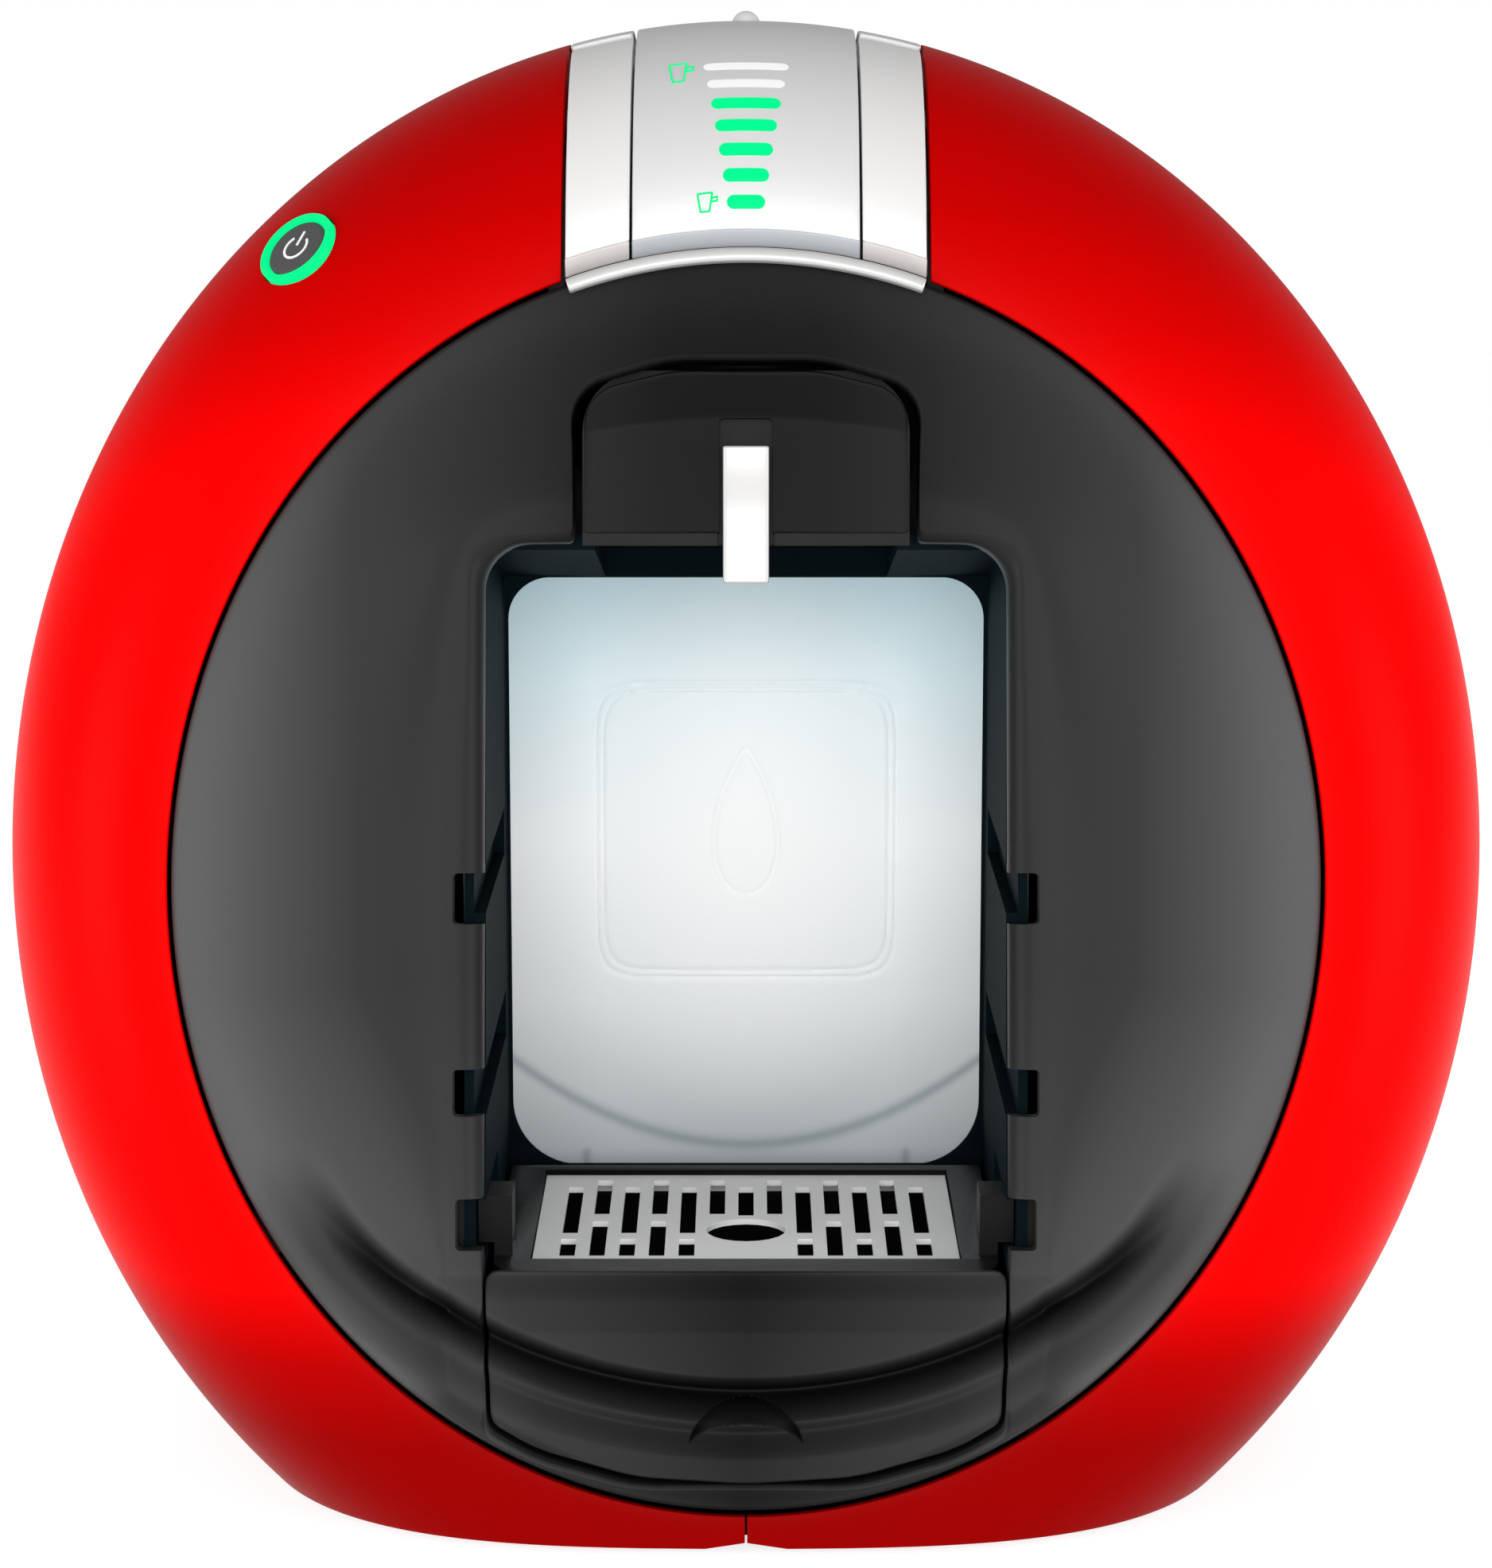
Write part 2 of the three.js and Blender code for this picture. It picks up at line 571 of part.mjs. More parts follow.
function makeWheel() {
  const start = ringPoint(-WHEEL.half, WHEEL.m, WHEEL.w);
  const end = ringPoint(WHEEL.half, WHEEL.m, WHEEL.w);
  const shape = new THREE.Shape();
  const ribs = 20;
  for (let i = 0; i < 2 * ribs; i++) {
    const angle = Math.PI * i / ribs;
    const radius = WHEEL.radius - (i % 2 ? 0.6 : 0);
    const [u, v] = [radius * Math.cos(angle), radius * Math.sin(angle)];
    if (i === 0) shape.moveTo(u, v);
    else shape.lineTo(u, v);
  }
  const geometry = new THREE.ExtrudeGeometry(
    shape, { depth: 2 * WHEEL.half, bevelEnabled: false });
  geometry.rotateY(Math.PI / 2);
  geometry.translate(start.x, start.y, start.z);
  const axleStart = start.clone().setX(-12.5);
  const axleEnd = end.clone().setX(12.5);
  const body = solid(geometry).subtract(rod(axleStart, axleEnd, WHEEL.axle + GAP, 12));
  const axle = rod(axleStart, axleEnd, WHEEL.axle, 12);
  return [meshOf('volume_wheel', body, BLACK), meshOf('wheel_axle', axle, STEEL)];
}

// The silver strips behind the handle's arms.
function makeRearStrips() {
  const strips = hollowDrum.intersect(slab(REAR_STRIP.startM, 100))
    .intersect(box([-200, 200], [-200, CHANNEL.front], [200, 400]));
  return [['left_rear_strip', -1], ['right_rear_strip', 1]].map(([name, side]) => {
    const x = [side * REAR_STRIP.inner, side * REAR_STRIP.outer].sort((p, q) => p - q);
    return meshOf(name, strips.intersect(between(...x)), SILVER);
  });
}

function makeSelector() {
  const top = ringPoint(0, SELECTOR.m, SELECTOR.w);
  const low = ringPoint(0, SELECTOR.m, SELECTOR.w - SELECTOR.drop);
  const knob = new THREE.SphereGeometry(SELECTOR.radius, 16, 10);
  knob.translate(top.x, top.y, top.z);
  const stem = rod(low, top, 1.5, 12);
  const hub = rod(low.clone().add(new THREE.Vector3(0, -5, 0)),
    low.clone().add(new THREE.Vector3(0, 5, 0)), 3.5, 16);
  return meshOf('selector_lever', union(solid(knob), stem, hub), CHROME);
}

function makePower() {
  const start = powerPoint(-7);
  const end = powerPoint(1);
  const ring = tube(start, end, POWER.outer, POWER.inner, 28);
  const cap = powerRod(-6, 0.5, POWER.cap, 28);
  return [meshOf('power_ring', ring, LED_GREEN), meshOf('power_button', cap, GREY)];
}

// ---------------------------------------------------------------- brewing group
function makeHolder() {
  const { half, z0, z1, faceM, back } = HOLDER;
  const faceBack = faceM + 4.5;
  const face = holderArch(29.8, 178.2, 209.6, 11).intersect(slab(faceM, faceBack));
  const body = box([-half, half], [-90, back], [z0, z1]).intersect(slab(faceBack - 0.2, 200));
  const pod = (z) => new THREE.Vector3(0, POD.y, z);
  const pocket = rod(pod(POD.floor), pod(z1 + 1), POD.radius, 32);
  const outlet = rod(pod(150), pod(200), 8, 20);
  const notch = box([-2, 2], [POD.y, back + 1], [NEEDLE.tip - 2, z1 + 1]);
  const slot = box([-PULL.slot, PULL.slot], [-80, faceM + 1.6], [30, PULL.slotHigh], lean);
  const strip = box([-PULL.half, PULL.half], [faceM - 1, faceM + 1.2], [PULL.low, PULL.high], lean);
  return [
    meshOf('pod_holder', union(face, body).subtract(union(pocket, outlet, notch, slot)), BLACK),
    meshOf('holder_pull', strip, CHROME),
  ];
}

function makeInjector() {
  let block = box([-27, 27], [-64, -4.5], [209.5, 221]).intersect(slab(-34, 100));
  for (const side of [-1, 1]) block = block.subtract(postRod(side, 200, 240, POST.radius + GAP));
  const pod = (z) => new THREE.Vector3(0, POD.y, z);
  const well = rod(pod(200), pod(230), NEEDLE.radius + GAP, 12);
  const needle = rod(pod(NEEDLE.tip), pod(224), NEEDLE.radius, 12);
  const seal = tube(pod(204.2), pod(209.2), 12, NEEDLE.radius + GAP, 20);
  return [
    meshOf('injector_carriage', block.subtract(well), GREY),
    meshOf('injector_needle', needle, STEEL),
    meshOf('injector_seal', seal, RUBBER),
    meshOf('left_guide_post', postRod(-1, POST.z0, POST.z1, POST.radius), STEEL),
    meshOf('right_guide_post', postRod(1, POST.z0, POST.z1, POST.radius), STEEL),
  ];
}

// ---------------------------------------------------------------- tray and tank
function makeTray() {
  const { half, z0, z1, back } = TRAY;
  const profile = [
    [back, z0], [back, z1], [-85, z1], [-88, 42], [-91.5, 33], [-92.5, 27], [-90.5, 24.5],
    [-91, 22], [-97, 19.5], [-99.5, 16], [-99.5, z0],
  ];
  const plan = new THREE.Shape();
  const round = 26;
  plan.moveTo(-half, back + 1);
  plan.lineTo(half, back + 1);
  plan.lineTo(half, -100 + round);
  plan.absellipse(0, -100 + round, half, round, 0, -Math.PI, true);
  const keel = new THREE.Shape();
  keel.moveTo(60, z1 + 1);
  keel.lineTo(-60, z1 + 1);
  keel.absarc(0, z0 + TRAY.keel, TRAY.keel, -Math.PI / 2 - 0.5, -Math.PI / 2 + 0.5);
  const boat = new THREE.ExtrudeGeometry(
    keel, { depth: 200, bevelEnabled: false, curveSegments: 16 });
  boat.rotateX(Math.PI / 2);
  boat.translate(0, 60, 0);
  const body = across(profile, -half, half).intersect(plate(plan, 0, 100, 12))
    .intersect(solid(boat));
  const basin = box([-37.5, 37.5], [-71, -15], [z0 + 8.5, 100])
    .add(box([-20, 20], [-68, -18], [z0 + 3.5, 30]));
  const seat = box([-GRID.half - GAP, GRID.half + GAP], [GRID.front - GAP, GRID.back + GAP],
    [GRID.z0 - GAP, 100]);
  const ears = [-1, 1].map((side) => {
    const x = [side * 43.5, side * EAR.reach].sort((p, q) => p - q);
    const foot = [side * 43.5, side * (half - 0.1)].sort((p, q) => p - q);
    return union(
      box(x, [-72, -62], [EAR.z0, EAR.z1]),
      box(foot, [-72, -62], [z1 - 4, EAR.z0 + 1]));
  });
  return meshOf('drip_tray', union(body.subtract(basin).subtract(seat), ...ears), DISH_BLACK);
}

function makeGrid() {
  const { half, front, back, z0, z1, hole, holeY } = GRID;
  let body = box([-half, half], [front, back], [z0, z1]);
  body = body.subtract(rod(new THREE.Vector3(0, holeY, 0), new THREE.Vector3(0, holeY, 60),
    hole, 20));
  const pitch = 5.6;
  for (let i = -6; i <= 6; i++) {
    const x = [i * pitch - 1.5, i * pitch + 1.5];
    const clear = Math.abs(i) < 2 ? holeY + 10 : front + 5;
    const cuts = i % 2 ? [[clear, -46], [-41, back - 4]] : [[clear, -58], [-54, back - 9]];
    for (const [y0, y1] of cuts) {
      const start = Math.max(y0, clear);
      if (y1 - start > 3) body = body.subtract(box(x, [start, y1], [0, 60]));
    }
  }
  return meshOf('drip_grid', body, STEEL);
}

function makeTank() {
  const { z0, z1, wall } = TANK;
  const shell = plate(tankShape(0), z0, z1)
    .subtract(plate(tankShape(-wall), z0 + wall, z1 + 1));
  const port = rod(new THREE.Vector3(0, 50, 0), new THREE.Vector3(0, 50, 60), 6.3, 16);
  const lid = plate(tankShape(0), z1 + GAP, z1 + 4.3)
    .add(plate(tankShape(-wall - 0.6), z1 - 3, z1 + 2));
  const filler = plate(tankShape(-12), 0, z1 + 2);
  const valve = rod(new THREE.Vector3(0, 50, 22), new THREE.Vector3(0, 50, 36), 6, 16)
    .add(rod(new THREE.Vector3(0, 50, 31.4), new THREE.Vector3(0, 50, 36), 8.5, 16))
    .subtract(rod(new THREE.Vector3(0, 50, 20), new THREE.Vector3(0, 50, 32), 3.6, 16));
  const spigot = rod(new THREE.Vector3(0, 50, 14.3), new THREE.Vector3(0, 50, 17.3), 11, 20)
    .add(rod(new THREE.Vector3(0, 50, 15), new THREE.Vector3(0, 50, 29), 3.2, 16))
    .subtract(rod(new THREE.Vector3(0, 50, 10), new THREE.Vector3(0, 50, 40), 1.8, 12));
  return [
    meshOf('water_tank', shell.subtract(port), TANK_BLUE),
    meshOf('tank_lid', lid.subtract(filler), BLACK),
    meshOf('tank_valve', valve, WHITE),
    meshOf('tank_spigot', spigot, GREY),
  ];
}

// ---------------------------------------------------------------- inside the ring
function makeInside() {
  const upright = (x, y, z0, z1, radius, sides = 16) => rod(
    new THREE.Vector3(x, y, z0), new THREE.Vector3(x, y, z1), radius, sides);
  const pump = union(
    upright(PUMP.x, PUMP.y, 76, 122, 18, 20),
    upright(PUMP.x, PUMP.y, 64, 77, 7),
    upright(PUMP.x, PUMP.y, 121, 138, 7));
  const mount = (z) => upright(PUMP.x, PUMP.y, z, z + 8, 14, 20)
    .subtract(upright(PUMP.x, PUMP.y, z - 1, z + 9, 7 + GAP))
    .add(box([PUMP.x - 22, PUMP.x - 13], [PUMP.y - 6, PUMP.y + 6], [z, z + 8]));
  const heater = union(
    rod(new THREE.Vector3(76, -18, 100), new THREE.Vector3(104, -18, 100), 34, 24),
    upright(98, -8, 130, 146, 4, 12),
    upright(82, -28, 130, 146, 4, 12));
  const meter = union(
    upright(PUMP.x, PUMP.y, 34, 50, 12, 20),
    upright(PUMP.x, PUMP.y, 49, 54, 4, 12));
  const board = box([-104, -66], [2, 3.6], [136, 196]);
  const glandAt = (y0, y1, radius) => rod(
    new THREE.Vector3(GLAND.x, y0, GLAND.z), new THREE.Vector3(GLAND.x, y1, GLAND.z), radius, 16);
  const gland = glandAt(-3, 28, GLAND.radius).add(glandAt(-5, -2, 9))
    .subtract(glandAt(-10, 60, 3.6));
  return [
    meshOf('pump', pump, STEEL),
    meshOf('lower_pump_mount', mount(66), RUBBER),
    meshOf('upper_pump_mount', mount(127), RUBBER),
    meshOf('thermoblock', heater, STEEL),
    meshOf('flow_meter', meter, WHITE),
    meshOf('control_board', board, BOARD_GREEN),
    meshOf('cord_gland', gland, RUBBER),
  ];
}

function makeHoses() {
  const inlet = [
    [0, 46, 11.2], [0, 26, 11.2], [-5, 13, 12], [-20, 9.5, 15.5], [-40, 10.5, 18],
    [-58, 11, 20], [-63, 1, 26], [-63, -12, 36], [-66, -19.5, 41.5], [-73.6, -20, 42],
  ];
  const feed = [[PUMP.x, PUMP.y, 54.4], [PUMP.x, PUMP.y, 58], [PUMP.x, PUMP.y, 63.6]];
  const pressure = [
    [PUMP.x, PUMP.y, 138.4], [PUMP.x, PUMP.y, 162], [-78, -12, 192], [-60, -2, 214],
    [-42, -1.2, 222], [0, -1.2, 224], [42, -1.2, 222], [64, -4, 206], [88, -8, 178],
    [98, -8, 160], [98, -8, 146.4],
  ];
  const injector = [
    [82, -28, 146.4], [82, -28, 160], [72, -26, 184], [54, -22, 206], [42, -22, 214],
    [27.4, -22, 214.5],
  ];
  return [
    meshOf('inlet_hose', hose(inlet, 2.5, 20), HOSE),
    meshOf('pump_feed_hose', hose(feed, 2.5, 2), HOSE),
    meshOf('pressure_hose', hose(pressure, 2.2, 30), HOSE),
    meshOf('injector_hose', hose(injector, 2, 14), HOSE),
  ];
}

// ---------------------------------------------------------------- assembly
const machine = new THREE.Group();
machine.name = 'pod_coffee_machine';
machine.add(
  ...makeSideShells(), makeFascia(), makeLiner(), makeRearHousing(), ...makeBase(),
  ...makeFeet(), ...makeScrews(), ...makePanel(), makeHandle(), ...makeHandlePins(),
  makeHeadFrame(), ...makeWheel(), ...makeRearStrips(), makeSelector(), ...makePower(),
  ...makeHolder(), ...makeInjector(), makeTray(), makeGrid(), ...makeTank(),
  ...makeInside(), ...makeHoses(),
);

export default machine;
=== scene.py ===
import json
import math

import bmesh
import bpy
import numpy as np
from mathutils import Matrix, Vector


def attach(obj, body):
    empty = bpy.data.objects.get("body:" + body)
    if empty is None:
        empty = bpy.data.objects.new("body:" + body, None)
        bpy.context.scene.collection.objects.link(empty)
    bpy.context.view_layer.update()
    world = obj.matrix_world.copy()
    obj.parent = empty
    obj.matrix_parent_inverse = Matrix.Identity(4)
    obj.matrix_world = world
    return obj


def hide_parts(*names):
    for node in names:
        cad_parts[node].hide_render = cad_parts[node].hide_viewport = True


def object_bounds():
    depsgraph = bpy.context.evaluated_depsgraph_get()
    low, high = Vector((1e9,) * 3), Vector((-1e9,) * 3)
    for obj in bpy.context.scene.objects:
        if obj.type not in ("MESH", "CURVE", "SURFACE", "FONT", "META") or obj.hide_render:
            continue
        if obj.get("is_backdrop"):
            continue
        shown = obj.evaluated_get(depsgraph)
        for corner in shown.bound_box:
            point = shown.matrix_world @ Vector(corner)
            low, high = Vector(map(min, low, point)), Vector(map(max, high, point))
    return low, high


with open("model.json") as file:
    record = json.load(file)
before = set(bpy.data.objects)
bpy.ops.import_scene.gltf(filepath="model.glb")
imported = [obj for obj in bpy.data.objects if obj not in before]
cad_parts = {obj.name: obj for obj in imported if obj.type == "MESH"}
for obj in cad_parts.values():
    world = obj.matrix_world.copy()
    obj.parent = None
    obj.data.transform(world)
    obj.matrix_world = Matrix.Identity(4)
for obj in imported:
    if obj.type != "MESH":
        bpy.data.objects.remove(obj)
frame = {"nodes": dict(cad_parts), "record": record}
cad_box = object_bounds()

# Lengths below are millimetres. u runs to the right, w up the leaning ring and m into it.
LEAN = math.radians(10)
SIN, COS = math.sin(LEAN), math.cos(LEAN)
RING_Y, RING_Z = -31.0, 128.0
WALL = 2.5
RIM_A, RIM_B, RIM_C, RIM_M = 104.4, 114.1, -17.7, -53.1
BELLY_A, BELLY_B, BELLY_C, BELLY_M = 140.0, 156.8, -10.8, 2.0
REAR_A, REAR_B, REAR_M = 30.0, 45.0, 74.0
BAND_POWER, BACK_POWER = 2.2, 2.4
SEAM_M, SKIRT_Z = 34.0, 1.5
MODULE_HALF, CHANNEL_HALF, CHANNEL_STEP = 33.3, 57.0, (9.4, 12.4)
DISH_A, DISH_B, DISH_M = 103.6, 113.3, -52.0
FRAME_HALF, FRAME_LOW, FRAME_HIGH, FRAME_M = 54.6, -129.6, 50.0, -40.0
DISH_CENTRE, DISH_BACK, LIP_NARROW, LIP_WIDE = -30.0, -31.9, 0.9, 5.2
PANEL_HALF, PANEL_END, ARM_IN, ARM_OUT, ARM_END = 20.5, 10.1, 21.0, 32.5, -25.7
STRIP_IN, STRIP_OUT, STRIP_START = 21.3, 33.0, -19.5
SHEET, ARM_WALL, ARM_LIFT = 2.2, 3.6, 0.3
KNOB_M, KNOB_W, KNOB_RADIUS, STEM_RADIUS, STEM_LENGTH = -9.0, 144.6, 2.7, 1.5, 24
KNOB_SLOT_HALF, KNOB_SLOT_M = 8.5, 3.1
WHEEL_M, WHEEL_W, WHEEL_ROOM = 2.0, 141.8, 5.8
BAR_COUNT, BARS_LIT, BAR_WIDTH, BAR_GROW, BAR_FIRST, BAR_PITCH = 7, 5, 6.9, 1.45, 8.3, 5.07
WINDOW_HALF, WINDOW_LOW, WINDOW_HIGH = 47.4, 43.4, 163.9
GRID_HALF, GRID_FRONT, GRID_BACK, GRID_FOLD, GRID_SHEET = 39.9, -74.0, -13.0, 1.1, 43.9
SAG_LOW, SAG_RISE, SAG_HALF, TICK_X = 46.7, 17.5, 47.0, 32.7
EMBLEM_Z, EMBLEM_LINES = 112.0, (28.9, 30.3)
TANK_HALF, TANK_FRONT, TANK_MID, TANK_DEEP = 54.0, 4.6, 50.0, 53.54
TANK_Z0, TANK_Z1, TANK_WALL, TANK_CENTRE = 28.9, 190.0, 2.2, np.array([0.0, 45.0])
PULL_LOW, PULL_HIGH, PULL_M = 36.5, 61.3, -42.4
SLOT_HALF, SLOT_HIGH = 4.9, 66.6
AMBIENT, LIGHT_WATTS, FLOOR_HALF, FLOOR_GLOW = 0.42, 13, 3000, 0.78
CAMERA_PLACE, CAMERA_TILT, CAMERA_LENS = (0, -0.7992, 0.2634), 80, 92.85
END_S = 3.3
GRIP_W, GRIP_HALF, GRIP_OUTER, GRIP_INNER, GRIP_DEPTH = -120.6, 10.5, 8.7, 4.4, 3.2
NOTCHES = [(-25.8, -16.4, 53.7), (-61.0, -52.4, 53.7), (-85.5, -76.1, 53.2)]
POWER_POINT = np.array([-82.031, -53.664, 231.342])
POWER_NORMAL = np.array([-0.49743, -0.57287, 0.65145])
POWER_HOLE = 8.15


# ---------- mesh tools
def to_machine(u, m, w):
    """Ring to machine: y = w sin + m cos - 31, z = 128 + w cos - m sin."""
    u, m, w = np.broadcast_arrays(u, m, w)
    return np.stack([u, w * SIN + m * COS + RING_Y, RING_Z + w * COS - m * SIN], -1)


def shade(mesh, sharp):
    """Smooth shading with a crease wherever faces meet at more than the angle."""
    mesh.shade_smooth()
    mesh.set_sharp_from_angle(angle=math.radians(sharp))


def sided(side, name):
    """The name of a right (1) or left (-1) piece."""
    return ("right_" if side > 0 else "left_") + name


def finish_piece(mesh, name, material, body, nodes=(), sharp=35):
    """Makes the object, shades it smooth, gives it its material, joins it to its body and hides
    the nodes it replaces.
    """
    shade(mesh, sharp)
    piece = bpy.data.objects.new(name, mesh)
    bpy.context.collection.objects.link(piece)
    mesh.materials.append(material)
    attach(piece, body)
    if nodes:
        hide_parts(*nodes)
    return piece


def grid_mesh(name, points, wrap_rows=False, wrap_columns=False, caps=False, outward=True):
    """Quads between neighbouring rows and columns; doubles merge at poles."""
    rows, columns = points.shape[:2]
    i = np.arange(rows if wrap_rows else rows - 1)[:, None]
    j = np.arange(columns if wrap_columns else columns - 1)[None, :]
    i2, j2 = (i + 1) % rows, (j + 1) % columns
    quads = np.stack([i * columns + j, i * columns + j2, i2 * columns + j2, i2 * columns + j], -1)
    faces = quads.reshape(-1, 4).tolist()
    if caps:
        first = np.arange(columns)
        faces += [first[::-1].tolist(), (first + (rows - 1) * columns).tolist()]
    mesh = bpy.data.meshes.new(name)
    mesh.from_pydata((points.reshape(-1, 3) / 1000).tolist(), [], faces)
    work = bmesh.new()
    work.from_mesh(mesh)
    bmesh.ops.remove_doubles(work, verts=work.verts, dist=2e-6)
    bmesh.ops.dissolve_degenerate(work, edges=work.edges, dist=1e-7)
    if outward:
        bmesh.ops.recalc_face_normals(work, faces=work.faces)
    work.to_mesh(mesh)
    work.free()
    return mesh


def bake(piece):
    """Applies the piece's modifiers to its mesh."""
    bpy.context.view_layer.update()
    graph = bpy.context.evaluated_depsgraph_get()
    mesh = bpy.data.meshes.new_from_object(piece.evaluated_get(graph))
    piece.modifiers.clear()
    piece.data = mesh
    return piece


def thicken(piece, thickness, edge):
    """Solidify inward, then a bevel of the new corners."""
    solid = piece.modifiers.new("wall", "SOLIDIFY")
    solid.thickness, solid.offset, solid.use_even_offset = thickness / 1000, -1, True
    return soften(piece, edge, 50)


def soften(piece, edge, angle):
    """A rounded bevel on corners sharper than the angle."""
    bevel = piece.modifiers.new("edge", "BEVEL")
    bevel.width, bevel.segments = edge / 1000, 3
    bevel.limit_method, bevel.angle_limit = "ANGLE", math.radians(angle)
    return piece


def point_up(mesh, direction):
    """Turns an open surface over if its mean normal runs against the direction."""
    normals = np.empty(len(mesh.polygons) * 3)
    mesh.polygons.foreach_get("normal", normals)
    if normals.reshape(-1, 3).mean(0) @ np.asarray(direction, float) < 0:
        mesh.flip_normals()
    return mesh


def cut(piece, points, operation="DIFFERENCE"):
    """Boolean with a closed grid, which is then removed."""
    mesh = grid_mesh("cutter", points, wrap_columns=True, caps=True)
    tool = bpy.data.objects.new("cutter", mesh)
    bpy.context.collection.objects.link(tool)
    change = piece.modifiers.new("cut", "BOOLEAN")
    change.object, change.operation, change.solver = tool, operation, "EXACT"
    bake(piece)
    bpy.data.objects.remove(tool)
    return piece


def smooth(x):
    """3x^2 - 2x^3 between 0 and 1."""
    x = np.clip(x, 0, 1)
    return x * x * (3 - 2 * x)


# ---------- the ring's form
def band(t):
    """Ellipses a, b, c, m from the rim (t 0) to the belly (t 1): a superellipse profile."""
    t = np.asarray(t, float)
    out = np.sin(t * np.pi / 2) ** (2 / BAND_POWER)
    back = 1 - np.cos(t * np.pi / 2) ** (2 / BAND_POWER)
    return (RIM_A + (BELLY_A - RIM_A) * out, RIM_B + (BELLY_B - RIM_B) * out,
            RIM_C + (BELLY_C - RIM_C) * out, RIM_M + (BELLY_M - RIM_M) * back)


def dome(t):
    """Ellipses from the belly (t 0) to the rear face (t 1), on a second superellipse."""
    t = np.asarray(t, float)
    keep = np.cos(t * np.pi / 2) ** (2 / BACK_POWER)
    along = np.sin(t * np.pi / 2) ** (2 / BACK_POWER)
    return (REAR_A + (BELLY_A - REAR_A) * keep, REAR_B + (BELLY_B - REAR_B) * keep,
            BELLY_C + 0 * keep, BELLY_M + (REAR_M - BELLY_M) * along)


def seam_share():
    """The share of the dome at which its depth is the seam's."""
    along = ((SEAM_M - BELLY_M) / (REAR_M - BELLY_M)) ** (BACK_POWER / 2)
    return math.asin(along) * 2 / math.pi


def shell_profile():
    """The band's ellipses, then the dome's as far as the seam."""
    front = band(np.linspace(0, 1, 44))
    rear = dome(np.linspace(0, 1, 18)[1:] * seam_share())
    return [np.concatenate(pair) for pair in zip(front, rear)]


def ellipse_grid(a, b, c, m, angles):
    """Points of each ellipse at its own row of angles."""
    return to_machine(a[:, None] * np.cos(angles), m[:, None] + 0 * angles,
                      c[:, None] + b[:, None] * np.sin(angles))


def skirt_angle(a, b, c, m, seam):
    """The lower end of each row: at the skirt's plane, or at the seam by the centre."""
    w = (SKIRT_Z - RING_Z + m * SIN) / COS
    skirt = np.arcsin(np.clip((w - c) / b, -1, 1))
    return np.maximum(skirt, -np.arccos(np.clip(seam / a, -1, 1)))


ARC_A, ARC_B, ARC_C, ARC_M = (np.concatenate([front, back[1:]]) for front, back in zip(
    band(np.linspace(0, 1, 4001)), dome(np.linspace(0, 0.1, 401))))
ARC_W = ARC_B + ARC_C
ARC_LENGTH = np.concatenate([[0], np.cumsum(np.hypot(np.diff(ARC_W), np.diff(ARC_M)))])


def on_band(x, s, lift=0.0):
    """The point at sideways place x and arc length s up the top of the band, raised by lift."""
    x, s = np.broadcast_arrays(np.asarray(x, float), np.asarray(s, float))
    a, b, c, m = (np.interp(s, ARC_LENGTH, k) for k in (ARC_A, ARC_B, ARC_C, ARC_M))
    w = c + b * np.sqrt(1 - (x / a) ** 2)
    rise = np.interp(s + 0.5, ARC_LENGTH, ARC_W) - np.interp(s - 0.5, ARC_LENGTH, ARC_W)
    run = np.interp(s + 0.5, ARC_LENGTH, ARC_M) - np.interp(s - 0.5, ARC_LENGTH, ARC_M)
    tilt = -b * x / (a * a * np.sqrt(1 - (x / a) ** 2))
    normal = np.stack([-tilt * run, -rise, run], -1)
    normal /= np.linalg.norm(normal, axis=-1, keepdims=True)
    lift = np.broadcast_to(np.asarray(lift, float), x.shape)
    return to_machine(x + normal[..., 0] * lift, m + normal[..., 1] * lift,
                      w + normal[..., 2] * lift)


def arc_at(m):
    """Arc length up the band at depth m."""
    return float(np.interp(m, ARC_M, ARC_LENGTH))


# ---------- outlines
def round_corners(corners, steps=9):
    """A closed polygon of (x, y, radius) with each corner replaced by its tangent arc."""
    line = []
    count = len(corners)
    for i, (x, y, radius) in enumerate(corners):
        here = np.array([x, y], float)
        back = np.array(corners[i - 1][:2], float) - here
        ahead = np.array(corners[(i + 1) % count][:2], float) - here
        size = np.linalg.norm(back), np.linalg.norm(ahead)
        back, ahead = back / size[0], ahead / size[1]
        half = math.acos(float(np.clip(back @ ahead, -1, 1))) / 2
        reach = min(radius / math.tan(half), 0.49 * min(size))
        if reach < 1e-6:
            line.append(here[None])
            continue
        middle = back + ahead
        middle /= np.linalg.norm(middle)
        radius = reach * math.tan(half)
        centre = here + middle * radius / math.sin(half)
        start, end = here + back * reach - centre, here + ahead * reach - centre
        sweep = math.atan2(start[0] * end[1] - start[1] * end[0], start @ end)
        turn = np.linspace(0, sweep, steps)
        line.append(centre + np.stack([
            start[0] * np.cos(turn) - start[1] * np.sin(turn),
            start[0] * np.sin(turn) + start[1] * np.cos(turn)], -1))
    return np.concatenate(line)


def dense(line, step):
    """A closed polyline with points no further apart than the step."""
    closed = np.concatenate([line, line[:1]])
    length = np.concatenate([[0], np.cumsum(np.linalg.norm(np.diff(closed, axis=0), axis=1))])
    at = np.linspace(0, length[-1], max(int(length[-1] / step), 8), endpoint=False)
    return np.stack([np.interp(at, length, closed[:, k]) for k in (0, 1)], -1)


